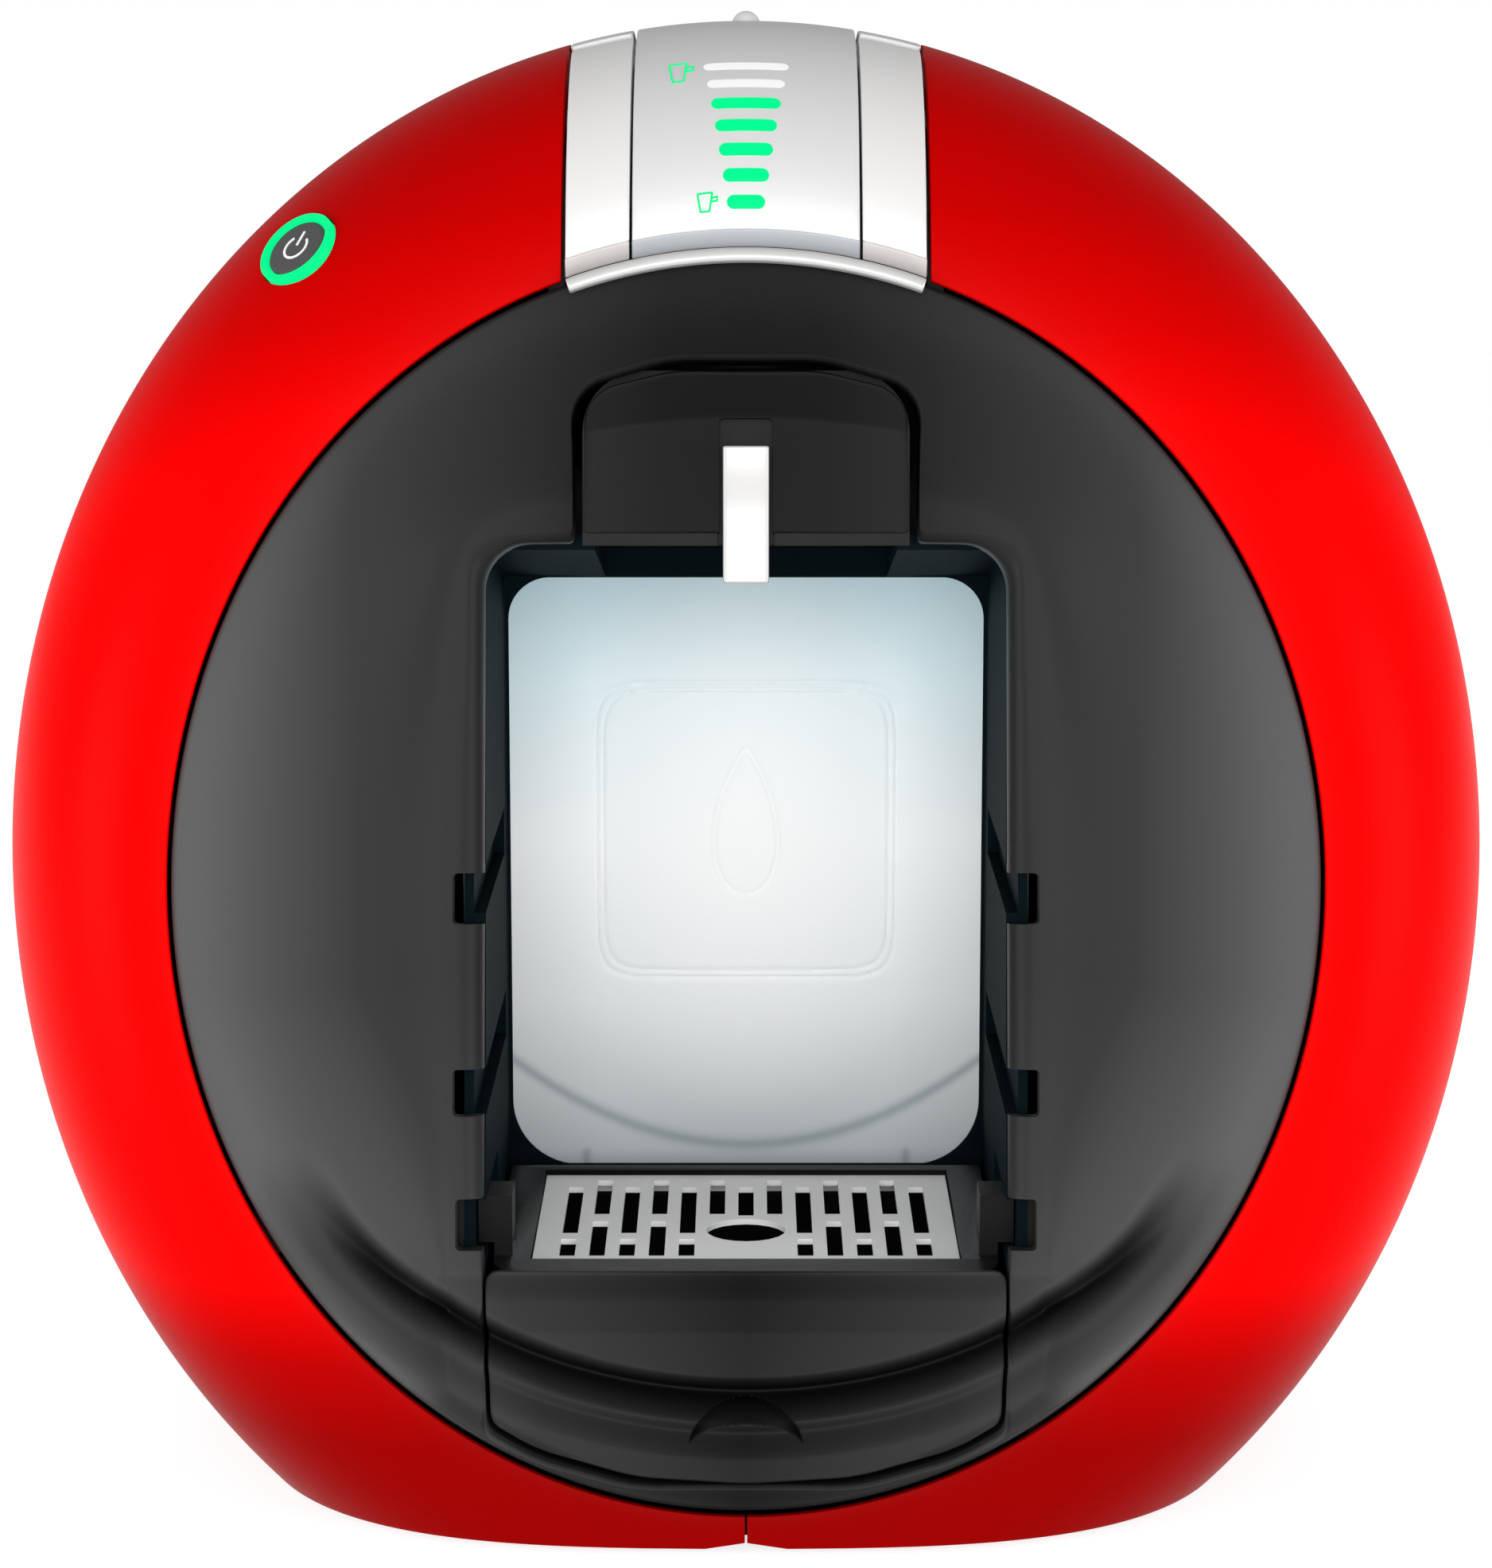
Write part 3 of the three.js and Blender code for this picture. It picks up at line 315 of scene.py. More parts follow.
def polar(line, centre):
    """Turns a star-shaped outline into a function of the angle about its centre."""
    offset = dense(line, 0.1) - np.asarray(centre, float)
    angle = np.arctan2(offset[:, 1], offset[:, 0])
    order = np.argsort(angle)
    angle, reach = angle[order], np.hypot(offset[:, 0], offset[:, 1])[order]
    angle = np.concatenate([angle[-9:] - 2 * np.pi, angle, angle[:9] + 2 * np.pi])
    reach = np.concatenate([reach[-9:], reach, reach[:9]])
    return lambda turn: np.interp((turn + np.pi) % (2 * np.pi) - np.pi, angle, reach)


def prism(line, depths):
    """An outline in u and w carried from one depth to another."""
    return np.stack([to_machine(line[:, 0], m, line[:, 1]) for m in depths])


def mirrored(right):
    """Corners of the right side from bottom to top, and the left side back down."""
    return right + [(-x, y, r) for x, y, r in reversed(right)]


def frame_outline():
    """The superellipse of the dish's inner frame."""
    turn = np.linspace(0, 2 * np.pi, 720, endpoint=False)
    middle, half = (FRAME_HIGH + FRAME_LOW) / 2, (FRAME_HIGH - FRAME_LOW) / 2
    cos, sin = np.cos(turn), np.sin(turn)
    return np.stack([FRAME_HALF * np.sign(cos) * np.abs(cos) ** 0.25,
                     middle + half * np.sign(sin) * np.abs(sin) ** 0.25], -1)


def ellipse_line(a, b, c):
    """A closed ellipse as a polyline."""
    turn = np.linspace(0, 2 * np.pi, 720, endpoint=False)
    return np.stack([a * np.cos(turn), c + b * np.sin(turn)], -1)


def arch_line(half, low, shoulder, crown, radius):
    """The holder's arch: upright sides, round shoulders and a low curved crown."""
    corners = [(half, low, 1.0), (half - 0.6, shoulder, radius), (half * 0.45, crown - 1.4, 30)]
    return round_corners(mirrored(corners), 12)


def tray_line():
    """The tray front's outline: nearly upright sides and a shallow bowed chin."""
    right = [(20, -125.4, 40), (38, -120.4, 40), (46.2, -115.8, 3), (47.2, -104, 8),
             (47.8, -89.4, 2)]
    return round_corners([(0, -126.6, 60)] + mirrored(right), 10)


DISH_INNER = round_corners(mirrored(
    [(20, -126.6, 40), (38, -121.6, 40), (46.9, -116.8, 3.4), (47.9, -104, 8), (48.4, -86, 10),
     (48.1, 44, 14), (31.4, 44.2, 1), (31.9, 71.5, 8), (14, 76.6, 30)]))

CENTRE = (0.0, DISH_CENTRE)
RIM_REACH = polar(ellipse_line(DISH_A, DISH_B, RIM_C), CENTRE)
FRAME_REACH = polar(frame_outline(), CENTRE)
INNER_REACH = polar(DISH_INNER, CENTRE)


def valley(u, w):
    """Two smile-shaped creases: a sharp one on a low ellipse and a softer one outside it."""
    fade = smooth((-64 - w) / 24)
    first = (np.hypot(u / 82, (w + 55) / 56) - 1) * 58
    second = (np.hypot(u / 88, (w + 55) / 63) - 1) * 64
    sharp = np.where(first < 0, smooth(1 + first / 3.4), smooth(1 - first / 6.5))
    soft = np.where(second < 0, smooth(1 + second / 2.5), smooth(1 - second / 4.5))
    return fade * (5.4 * sharp + 1.8 * soft)


def dish_depth(u, w):
    """The dish's depth: level at the rim and at the frame, smooth between, plus the creases."""
    turn, reach = np.arctan2(w - DISH_CENTRE, u), np.hypot(u, w - DISH_CENTRE)
    outer, inner = RIM_REACH(turn), FRAME_REACH(turn)
    share = np.clip((outer - reach) / np.maximum(outer - inner, 4.0), 0, 1)
    frame_m = np.interp(w, [-127, -100, -90], [-50, -43.5, FRAME_M])
    return DISH_M + (frame_m - DISH_M) * smooth(share ** 1.15) + valley(u, w)


def crease_share(x, y, z):
    """How deep a point lies in the dish's creases, 0 to 1, which sets the painted shade there."""
    return valley(x, (z - RING_Z) * COS + (y - RING_Y) * SIN) / 5.4


def tank_shade_line(x, y, z):
    """Painted shade on the tank's front: a soft sagging dark line and two short ticks below it."""
    sag = np.exp(-((z - SAG_LOW - SAG_RISE * (x / SAG_HALF) ** 2) / 1.3) ** 2)
    tick = np.exp(-((np.abs(x) - TICK_X) / 0.9) ** 2) * smooth((46.5 - z) / 1.5)
    return (y < TANK_FRONT + 0.6) * np.maximum(0.5 * sag, 0.45 * tick)


def mark_painted_shade(mesh, share=crease_share):
    """Stores a share of painted shade from 0 to 1 at each vertex, by which the material is
    darkened.
    """
    flat = np.empty(len(mesh.vertices) * 3)
    mesh.vertices.foreach_get("co", flat)
    layer = mesh.attributes.new("hollow", "FLOAT", "POINT")
    value = np.clip(share(*(flat.reshape(-1, 3) * 1000).T), 0, 1)
    layer.data.foreach_set("value", value.astype(np.float32))


# ---------- materials
def new_material(name):
    material = bpy.data.materials.new(name)
    material.use_nodes = True
    return material, material.node_tree, material.node_tree.nodes["Principled BSDF"]


def add(tree, kind, **inputs):
    """A node with its sockets set by name."""
    node = tree.nodes.new(kind)
    for key, value in inputs.items():
        node.inputs[key.replace("_", " ")].default_value = value
    return node


def fine_bump(tree, shader, scale, strength, distance=0.00005):
    """Moulding or brushing grain as bump, from noise on Object coordinates."""
    place = tree.nodes.new("ShaderNodeTexCoord")
    stretch = tree.nodes.new("ShaderNodeMapping")
    stretch.inputs["Scale"].default_value = scale
    noise = add(tree, "ShaderNodeTexNoise", Scale=1.0, Detail=3.0)
    bump = add(tree, "ShaderNodeBump", Strength=strength, Distance=distance)
    tree.links.new(place.outputs["Object"], stretch.inputs["Vector"])
    tree.links.new(stretch.outputs[0], noise.inputs["Vector"])
    tree.links.new(noise.outputs["Fac"], bump.inputs["Height"])
    tree.links.new(bump.outputs[0], shader.inputs["Normal"])
    return noise


def map_range(tree, source, low, high, to_low=0.0, to_high=1.0):
    """The source's span from low to high, carried to another span and clamped."""
    node = add(tree, "ShaderNodeMapRange", From_Min=low, From_Max=high,
               To_Min=to_low, To_Max=to_high)
    tree.links.new(source, node.inputs["Value"])
    return node.outputs[0]


def vary(tree, noise, shader, low, high):
    """The roughness runs from low to high with the grain."""
    span = map_range(tree, noise.outputs["Fac"], 0, 1, low, high)
    tree.links.new(span, shader.inputs["Roughness"])


def object_place(tree):
    """The x, y and z sockets of the Object coordinates, in metres."""
    place = tree.nodes.new("ShaderNodeTexCoord")
    split = tree.nodes.new("ShaderNodeSeparateXYZ")
    tree.links.new(place.outputs["Object"], split.inputs[0])
    return split.outputs


def colour_ramp(tree, source, stops):
    """A colour ramp over the source, with a colour at each place."""
    ramp = tree.nodes.new("ShaderNodeValToRGB")
    while len(ramp.color_ramp.elements) < len(stops):
        ramp.color_ramp.elements.new(0.5)
    for element, (at, colour) in zip(ramp.color_ramp.elements, stops):
        element.position, element.color = at, (*colour, 1)
    tree.links.new(source, ramp.inputs["Fac"])
    return ramp.outputs[0]


def blend(tree, factor, first, second):
    """A mix of two colours, each a plain colour or a socket."""
    node = tree.nodes.new("ShaderNodeMix")
    node.data_type = "RGBA"
    tree.links.new(factor, node.inputs["Factor"])
    for key, value in (("A", first), ("B", second)):
        if isinstance(value, tuple):
            node.inputs[key].default_value = (*value, 1)
        else:
            tree.links.new(value, node.inputs[key])
    return node.outputs["Result"]


def darken(tree, colour, dark):
    """Paints shade: turns the colour to a dark one by the mesh's own hollow attribute."""
    hollow = tree.nodes.new("ShaderNodeAttribute")
    hollow.attribute_name = "hollow"
    return blend(tree, hollow.outputs["Fac"], colour, dark)


def red_lacquer():
    """Red paint over moulded plastic, with painted shade: darker towards the crown and the skirt,
    where less light falls.
    """
    material, tree, shader = new_material("red_lacquer")
    # Painted shade: the red runs darker towards the top and the bottom, by height.
    height = map_range(tree, object_place(tree)["Z"], 0, 0.275)
    ramp = colour_ramp(tree, height, [
        (at, (red, 0, 0)) for at, red in [
            (0, 0.23), (0.07, 0.25), (0.123, 0.37), (0.2, 0.80), (0.24, 0.95), (0.6, 0.95),
            (0.79, 0.53), (0.87, 0.43), (1, 0.41)]])
    tree.links.new(ramp, shader.inputs["Base Color"])
    noise = fine_bump(tree, shader, (900, 900, 900), 0.03)
    vary(tree, noise, shader, 0.34, 0.42)
    shader.inputs["Specular IOR Level"].default_value = 0.018
    return material


def dish_satin():
    """Satin dark plastic with painted light and shade: lighter to the sides and low down, darker
    in its creases.
    """
    material, tree, shader = new_material("dish_satin")
    place = object_place(tree)
    # Painted light: the tone rises towards the sides and low down.
    size = tree.nodes.new("ShaderNodeMath")
    size.operation = "ABSOLUTE"
    tree.links.new(place["X"], size.inputs[0])
    total = tree.nodes.new("ShaderNodeMath")
    tree.links.new(map_range(tree, size.outputs[0], 0, 0.104), total.inputs[0])
    tree.links.new(map_range(tree, place["Z"], 0.10, 0.03, 0, 0.32), total.inputs[1])
    stops = [(0, 0.0035), (0.14, 0.0040), (0.32, 0.0105), (0.68, 0.029), (0.97, 0.080)]
    ramp = colour_ramp(tree, total.outputs[0], [(at, (tone,) * 3) for at, tone in stops])
    # Painted shade darkens the creases by the hollow attribute.
    tree.links.new(darken(tree, ramp, (0.001, 0.001, 0.001)), shader.inputs["Base Color"])
    noise = fine_bump(tree, shader, (1500, 1500, 1500), 0.1)
    vary(tree, noise, shader, 0.36, 0.46)
    shader.inputs["Specular IOR Level"].default_value = 0.07
    return material


def moulded(name, colour, low, high, grain=1400, strength=0.12, shine=0.08):
    """Moulded plastic with a fine spark-eroded grain."""
    material, tree, shader = new_material(name)
    shader.inputs["Specular IOR Level"].default_value = shine
    noise = fine_bump(tree, shader, (grain, grain, grain), strength)
    vary(tree, noise, shader, low, high)
    tint = blend(tree, noise.outputs["Fac"], tuple(0.93 * k for k in colour),
                 tuple(min(1, 1.06 * k) for k in colour))
    tree.links.new(tint, shader.inputs["Base Color"])
    return material


def metal(name, colour, low, high, scale=(40, 2500, 2500), strength=0.08, metallic=1.0):
    """Metal or metal-effect plastic, brushed along one direction."""
    material, tree, shader = new_material(name)
    noise = fine_bump(tree, shader, scale, strength)
    vary(tree, noise, shader, low, high)
    shader.inputs["Base Color"].default_value = (*colour, 1)
    shader.inputs["Metallic"].default_value = metallic
    return material


def light_guide_and_painted_glow(name, colour, strength):
    """A light guide: plastic that glows evenly, with a faint grain. On the unlit bars this glow is
    painted light.
    """
    material, tree, shader = new_material(name)
    noise = fine_bump(tree, shader, (700, 700, 700), 0.05)
    vary(tree, noise, shader, 0.35, 0.45)
    shader.inputs["Base Color"].default_value = (*(0.1 * k for k in colour), 1)
    shader.inputs["Emission Color"].default_value = (*colour, 1)
    shader.inputs["Emission Strength"].default_value = strength
    shader.inputs["Specular IOR Level"].default_value = 0.05
    return material


def frosted_tank():
    """Frosted clear plastic with a pale blue tint above, painted shade that turns it grey low
    down, a painted pool of light at the middle and a painted glow.
    """
    material, tree, shader = new_material("frosted_tank")
    # Painted shade low down and painted light towards the middle, by height, over a pale blue tint
    # above.
    height = map_range(tree, object_place(tree)["Z"], 0.042, 0.166)
    ramp = colour_ramp(tree, height, [
        (0, (0.46, 0.50, 0.52)), (0.28, (0.76, 0.79, 0.80)), (0.55, (0.88, 0.91, 0.92)),
        (0.8, (0.66, 0.80, 0.84)), (1, (0.46, 0.64, 0.70))])
    # A painted pool of light at the tank's middle.
    place = tree.nodes.new("ShaderNodeTexCoord")
    shift = add(tree, "ShaderNodeMapping", Location=(0, 0, -1.9), Scale=(22, 0, 17))
    glow = tree.nodes.new("ShaderNodeTexGradient")
    glow.gradient_type = "SPHERICAL"
    tree.links.new(place.outputs["Object"], shift.inputs["Vector"])
    tree.links.new(shift.outputs[0], glow.inputs["Vector"])
    bright = blend(tree, glow.outputs["Fac"], ramp, (0.97, 0.985, 0.985))
    # Painted shade: a dark line from the hollow attribute.
    colour = darken(tree, bright, (0.12, 0.17, 0.19))
    for socket in ("Base Color", "Emission Color"):
        tree.links.new(colour, shader.inputs[socket])
    # Painted glow: the tank gives off light though it is no lamp.
    shader.inputs["Emission Strength"].default_value = 0.20
    noise = fine_bump(tree, shader, (1200, 1200, 1200), 0.1)
    vary(tree, noise, shader, 0.35, 0.5)
    return material


RED = red_lacquer()
DISH = dish_satin()
BLACK = moulded("black_plastic", (0.009, 0.009, 0.010), 0.32, 0.42)
LINER = moulded("liner_plastic", (0.004, 0.009, 0.0115), 0.45, 0.55, shine=0.004)
GREY = moulded("grey_plastic", (0.16, 0.16, 0.165), 0.45, 0.55)
WHITE = moulded("white_plastic", (0.86, 0.86, 0.86), 0.30, 0.38, strength=0.05)
CAP = moulded("cap_plastic", (0.075, 0.075, 0.075), 0.40, 0.48)
RUBBER = moulded("foot_rubber", (0.012, 0.012, 0.012), 0.75, 0.85, 900, 0.3)
PANEL = metal("brushed_panel", (0.66, 0.66, 0.66), 0.36, 0.44, (2500, 40, 40), 0.04, 0.25)
BRIGHT = metal("satin_chrome", (0.76, 0.75, 0.745), 0.26, 0.34, (40, 900, 900), 0.03, 0.25)
# Painted shade: the bevel and lip metals are darker copies of the brushed panel and the satin
# chrome, for the less light that falls on them.
BEVEL = metal("bevel_silver", (0.40, 0.42, 0.44), 0.4, 0.5, (2500, 40, 40), 0.04, 0.2)
BEVEL_WARM_SHADED = metal("bevel_warm", (0.52, 0.49, 0.48), 0.4, 0.5, (40, 900, 900), 0.03, 0.2)
LIP_SHADED = metal("lip_chrome", (0.50, 0.495, 0.49), 0.26, 0.34, (40, 900, 900), 0.03, 0.25)
STEEL = metal("steel", (0.62, 0.62, 0.62), 0.25, 0.36)
# Painted light: the steel grid is given a near-white, non-metal colour for the light that falls on
# it from above.
GRILLE_LIT = metal("grid_steel", (0.97, 0.965, 0.955), 0.40, 0.5, (2200, 60, 900), 0.04, 0.0)
ALLOY = metal("cast_alloy", (0.50, 0.50, 0.50), 0.5, 0.65, (500, 500, 500), 0.3)
BOARD = moulded("board_green", (0.01, 0.10, 0.035), 0.45, 0.55)
GREEN = light_guide_and_painted_glow("green_light", (0.0, 0.97, 0.28), 0.95)
# Painted glow: the unlit bars glow white though they are not lit.
UNLIT_PAINTED_GLOW = light_guide_and_painted_glow("white_light", (0.92, 0.92, 0.92), 0.9)
CLEAR = frosted_tank()


# ---------- body pieces
def side_shell(side):
    """One red half: the profile's ellipses swept from the module or tank bay to the skirt."""
    a, b, c, m = shell_profile()
    top = np.interp(m, CHANNEL_STEP, [MODULE_HALF, CHANNEL_HALF + 2.8])
    high = np.arccos(top / a)
    low = skirt_angle(a, b, c, m, 0.2)
    share = np.linspace(0, 1, 190)[None, :]
    angles = high[:, None] + (low - high)[:, None] * share
    points = ellipse_grid(a, b, c, m, angles)
    points[..., 0] *= side
    name = sided(side, "side_shell")
    mesh = point_up(grid_mesh(name, points, outward=False), (side, 0, 0.001))
    piece = finish_piece(mesh, name + "_skin", RED, "body", (name,), 40)
    thicken(piece, WALL, 0.8)
    if side < 0:
        bake(piece)
        cut(piece, rod_grid(POWER_POINT, POWER_NORMAL, POWER_HOLE, -12, 12))
        shade(piece.data, 40)
    return piece


def axis_frame(axis):
    """Two directions square to an axis, the first as level as can be."""
    axis = np.asarray(axis, float) / np.linalg.norm(axis)
    level = np.cross([0, 0, 1], axis) if abs(axis[2]) < 0.95 else np.array([1.0, 0, 0])
    level = level / np.linalg.norm(level)
    return level, np.cross(axis, level), axis


def turned(point, axis, profile, sides=72):
    """A profile of (radius, height) turned about the axis through the point."""
    level, up, along = axis_frame(axis)
    angle = np.linspace(0, 2 * np.pi, sides, endpoint=False)[None, :, None]
    radius, height = (np.asarray(profile, float)[:, k][:, None, None] for k in (0, 1))
    return (np.asarray(point) + radius * (np.cos(angle) * level + np.sin(angle) * up)
            + height * along)


def rod_grid(point, axis, radius, start, end):
    """A plain rod's two end circles, with poles left to the caps."""
    return turned(point, axis, [(radius, start), (radius, end)], 64)


def dish():
    """The dark dish: rows from the rim to the inner outline, round its lip and back."""
    turn = np.linspace(-np.pi / 2, 1.5 * np.pi, 780, endpoint=False)[None, :]
    outer, inner = RIM_REACH(turn), INNER_REACH(turn)
    rows = []

    def place(reach):
        return reach * np.cos(turn), DISH_CENTRE + reach * np.sin(turn)

    def row(reach, depth):
        u, w = place(reach)
        rows.append(to_machine(u, depth, w)[0])

    for lift, grow in [(2.6, 0.0), (0.9, 0.0), (0.25, 0.25), (0.0, 0.75)]:
        row(outer - grow, DISH_M + lift)
    lip = np.interp(inner * np.sin(turn) + DISH_CENTRE, [-84, -74, 40, 46],
                    [LIP_NARROW, LIP_WIDE, LIP_WIDE, LIP_NARROW])
    lip = np.minimum(lip, 0.7 * (outer - inner))
    for share in np.linspace(0.008, 1, 64):
        reach = outer - 0.75 - (outer - 0.75 - inner - lip) * share
        row(reach, dish_depth(*place(reach)))
    edge = inner + lip
    front = dish_depth(*place(edge))
    for angle in np.linspace(0, np.pi / 2, 10)[1:]:
        row(edge - lip * math.sin(angle), front + 0.85 * lip * (1 - math.cos(angle)))
    keep = np.maximum(front + lip, DISH_BACK)
    for reach in (inner, inner + 1.4):
        row(reach, keep)
    for share in np.linspace(0, 1, 12):
        reach = inner + 1.4 + (outer - 1.2 - inner - 1.4) * share
        depth = np.maximum(dish_depth(*place(reach)), -48.5) + 4.0
        row(reach, depth * share ** 0.3 + keep * (1 - share ** 0.3))
    mesh = grid_mesh("front_dish", np.stack(rows), wrap_rows=True, wrap_columns=True)
    piece = finish_piece(mesh, "front_dish", DISH, "body", ("front_fascia",), 50)
    for side in (-1, 1):
        for low, high, reach in NOTCHES:
            ring = round_corners([(side * 40, low, 0.1), (side * reach, low, 0.8),
                                  (side * reach, high, 0.8), (side * 40, high, 0.1)], 4)
            cut(piece, prism(ring, (-60.0, -25.0)))
    # Painted shade in the dish's creases.
    mark_painted_shade(piece.data)
    shade(piece.data, 50)
    return piece


def notch_back(side):
    """A dark plate behind the lowest notch, between the dish and the cup bay's wall."""
    ring = round_corners([(side * 51.5, -91, 0.1), (side * 57.5, -91, 0.1),
                          (side * 57.5, -74, 0.1), (side * 51.5, -74, 0.1)], 4)
    name = sided(side, "notch_back")
    mesh = grid_mesh(name, prism(ring, (-31.4, -30.4)), wrap_columns=True, caps=True)
    return finish_piece(mesh, name, BLACK, "body")


def faced_plate(name, line, centre, face, back, rings):
    """A plate over a star-shaped outline: its face follows a depth function, its back is flat."""
    reach = polar(line, centre)
    turn = np.linspace(0, 2 * np.pi, 600, endpoint=False)
    edge, roll = reach(turn), 0.5
    rows = []

    def row(distance, depth):
        u, w = centre[0] + distance * np.cos(turn), centre[1] + distance * np.sin(turn)
        rows.append(to_machine(u, depth(u, w) if callable(depth) else depth, w))

    for share in np.linspace(0, 1, rings):
        row((edge - roll) * share, face)
    rim = edge - roll
    level = face(centre[0] + rim * np.cos(turn), centre[1] + rim * np.sin(turn))
    for angle in np.linspace(0, np.pi / 2, 5)[1:]:
        row(edge - roll + roll * math.sin(angle), level + roll * (1 - math.cos(angle)))
    row(edge, np.maximum(level + roll, back))
    row(edge * 0.0, back)
    return grid_mesh(name, np.stack(rows), wrap_columns=True)


def tray_front():
    """The tray's face: the dish's own form across it, a rolled top and a thumb crescent."""
    def face(u, w):
        form = dish_depth(u, w) + 0.15
        top = 1.4 * smooth((w + 94.5) / 4.5)
        outer = np.hypot(u / GRIP_HALF, (w - GRIP_W) / GRIP_OUTER)
        inner = np.hypot(u / GRIP_HALF, (w - GRIP_W) / GRIP_INNER)
        share = np.clip((inner - 1) / np.maximum(inner - outer, 1e-6), 0, 1)
        bite = share * smooth((1 - outer) / 0.05) * (w > GRIP_W)
        return form + top + GRIP_DEPTH * bite

    mesh = faced_plate("tray_front", tray_line(), (0, -107), face, -36.5, 80)
    # Painted shade in the creases across the tray front.
    mark_painted_shade(mesh)
    return finish_piece(mesh, "tray_front", DISH, "tray", (), 50)


def holder_face():
    """The pod holder's arched front, set a little behind the dish, with a slot for the pull."""
    line = arch_line(29.9, 45.6, 71.0, 76.4, 7.4)
    mesh = faced_plate("holder_face", line, (0, 60),
                       lambda u, w: np.minimum(dish_depth(u, w) + 1.1, -43.3), -38.6, 26)
    piece = finish_piece(mesh, "holder_face", DISH, "holder", (), 45)
    ring = round_corners(mirrored([(SLOT_HALF, 40, 0.1), (SLOT_HALF, SLOT_HIGH, 0.8)]), 5)
    cut(piece, prism(ring, (-60.0, -40.4)))
    shade(piece.data, 45)
    return piece


def box_grid(x, y, z):
    """A box as two square end rows along z."""
    ring = np.array([[x[0], y[0]], [x[1], y[0]], [x[1], y[1]], [x[0], y[1]]], float)
    return np.stack([np.column_stack([ring, np.full(4, float(k))]) for k in z])


def copied(node, name, material, body, low, high):
    """A merged copy of a CAD node kept only between two corners of a box."""
    source = frame["nodes"][node].data.copy()
    work = bmesh.new()
    work.from_mesh(source)
    bmesh.ops.remove_doubles(work, verts=work.verts, dist=1e-6)
    work.to_mesh(source)
    work.free()
    source.materials.clear()
    piece = finish_piece(source, name, material, body, (node,), 30)
    cut(piece, box_grid((low[0], high[0]), (low[1], high[1]), (low[2], high[2])), "INTERSECT")
    shade(piece.data, 30)
    return piece


def tray_deck():
    """The tray behind its front, with its basin."""
    return copied("drip_tray", "tray_deck", BLACK, "tray",
                  (-60, -84, 5), (60, 10, 60))


def grid_plate():
    """The steel grid: a thin slotted sheet with a rim folded down all round."""
    piece = copied("drip_grid", "grid_plate", GRILLE_LIT, "grid",
                   (-60, -90, 40), (60, 10, 50))
    half, front, back = GRID_HALF - GRID_FOLD, GRID_FRONT + GRID_FOLD, GRID_BACK - GRID_FOLD
    cut(piece, box_grid((-half, half), (front, back), (41, GRID_SHEET)))
    shade(piece.data, 30)
    return piece


# ---------- top module
def panel_sheet():
    """The silver panel: the band's top from the rim over the crest, thickened inward."""
    x = np.linspace(-PANEL_HALF, PANEL_HALF, 34)[:, None]
    s = np.linspace(END_S, arc_at(PANEL_END), 90)[None, :]
    mesh = grid_mesh("panel_sheet", on_band(x, s), outward=False)
    point_up(mesh, (0, -0.5, 1))
    piece = finish_piece(mesh, "panel_sheet", PANEL, "body",
                         ("control_panel",), 50)
    thicken(piece, SHEET, 0.35)
    bake(piece)
    half, front, back = KNOB_SLOT_HALF, KNOB_M - KNOB_SLOT_M, KNOB_M + KNOB_SLOT_M
    slot = round_corners(mirrored([(half, front, 1.4), (half, back, 1.4)]), 6)
    cut(piece, np.stack([to_machine(slot[:, 0], slot[:, 1], w) for w in (130.0, 160.0)]))
    cut(piece, rod_grid(to_machine(0.0, WHEEL_M, WHEEL_W), (1, 0, 0), WHEEL_ROOM, -half, half))
    shade(piece.data, 50)
    return piece


def patch(name, outline, material):
    """A raised shape on the band: a star-shaped outline in x and arc length, with an edge roll."""
    line = dense(outline, 0.25)
    middle, low, high = line.mean(0), -0.6, 0.12
    rows = [middle + (line - middle) * share for share in (0.0, 0.5, 0.93, 1.0)]
    lifts = [high, high, high, high - 0.08]
    points = [on_band(r[:, 0], r[:, 1], k) for r, k in zip(rows, lifts)]
    points += [on_band(line[:, 0], line[:, 1], low),
               on_band(rows[0][:, 0], rows[0][:, 1], low)]
    mesh = grid_mesh(name, np.stack(points), wrap_columns=True)
    return finish_piece(mesh, name, material, "body", (), 50)


def level_bars():
    """Seven round-ended bars, each wider than the one below it."""
    for i in range(BAR_COUNT):
        half, at, lit = (BAR_WIDTH + BAR_GROW * i) / 2, BAR_FIRST + BAR_PITCH * i, i < BARS_LIT
        tall = 1.32 if lit else 1.05
        corners = mirrored([(half, at - tall, tall), (half, at + tall, tall)])
        # Unlit bars take the painted white glow.
        piece = patch(f"light_bar_{i + 1}", round_corners(corners, 12),
                      GREEN if lit else UNLIT_PAINTED_GLOW)
        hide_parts(f"level_bar_{i + 1}")


def stroke(name, path, width, material, body, place):
    """A flat line of even width along a path in a surface's own two coordinates."""
    path = np.asarray(path, float)
    ahead = np.gradient(path, axis=0)
    side = np.stack([-ahead[:, 1], ahead[:, 0]], -1)
    side /= np.linalg.norm(side, axis=1, keepdims=True)
    left, right = path + side * width / 2, path - side * width / 2
    rows = [place(left, 0.13), place(right, 0.13), place(right, -0.2), place(left, -0.2)]
    points = np.stack(rows, 1)
    mesh = grid_mesh(name, points, wrap_columns=True, caps=True)
    return finish_piece(mesh, name, material, body, (), 40)


def spaced(points):
    """Points along an open polyline at an even step of about 0.15."""
    points = np.asarray(points, float)
    length = np.concatenate([[0], np.cumsum(np.linalg.norm(np.diff(points, axis=0), axis=1))])
    at = np.linspace(0, length[-1], max(int(length[-1] / 0.15), 4))
    return np.stack([np.interp(at, length, points[:, k]) for k in (0, 1)], -1)


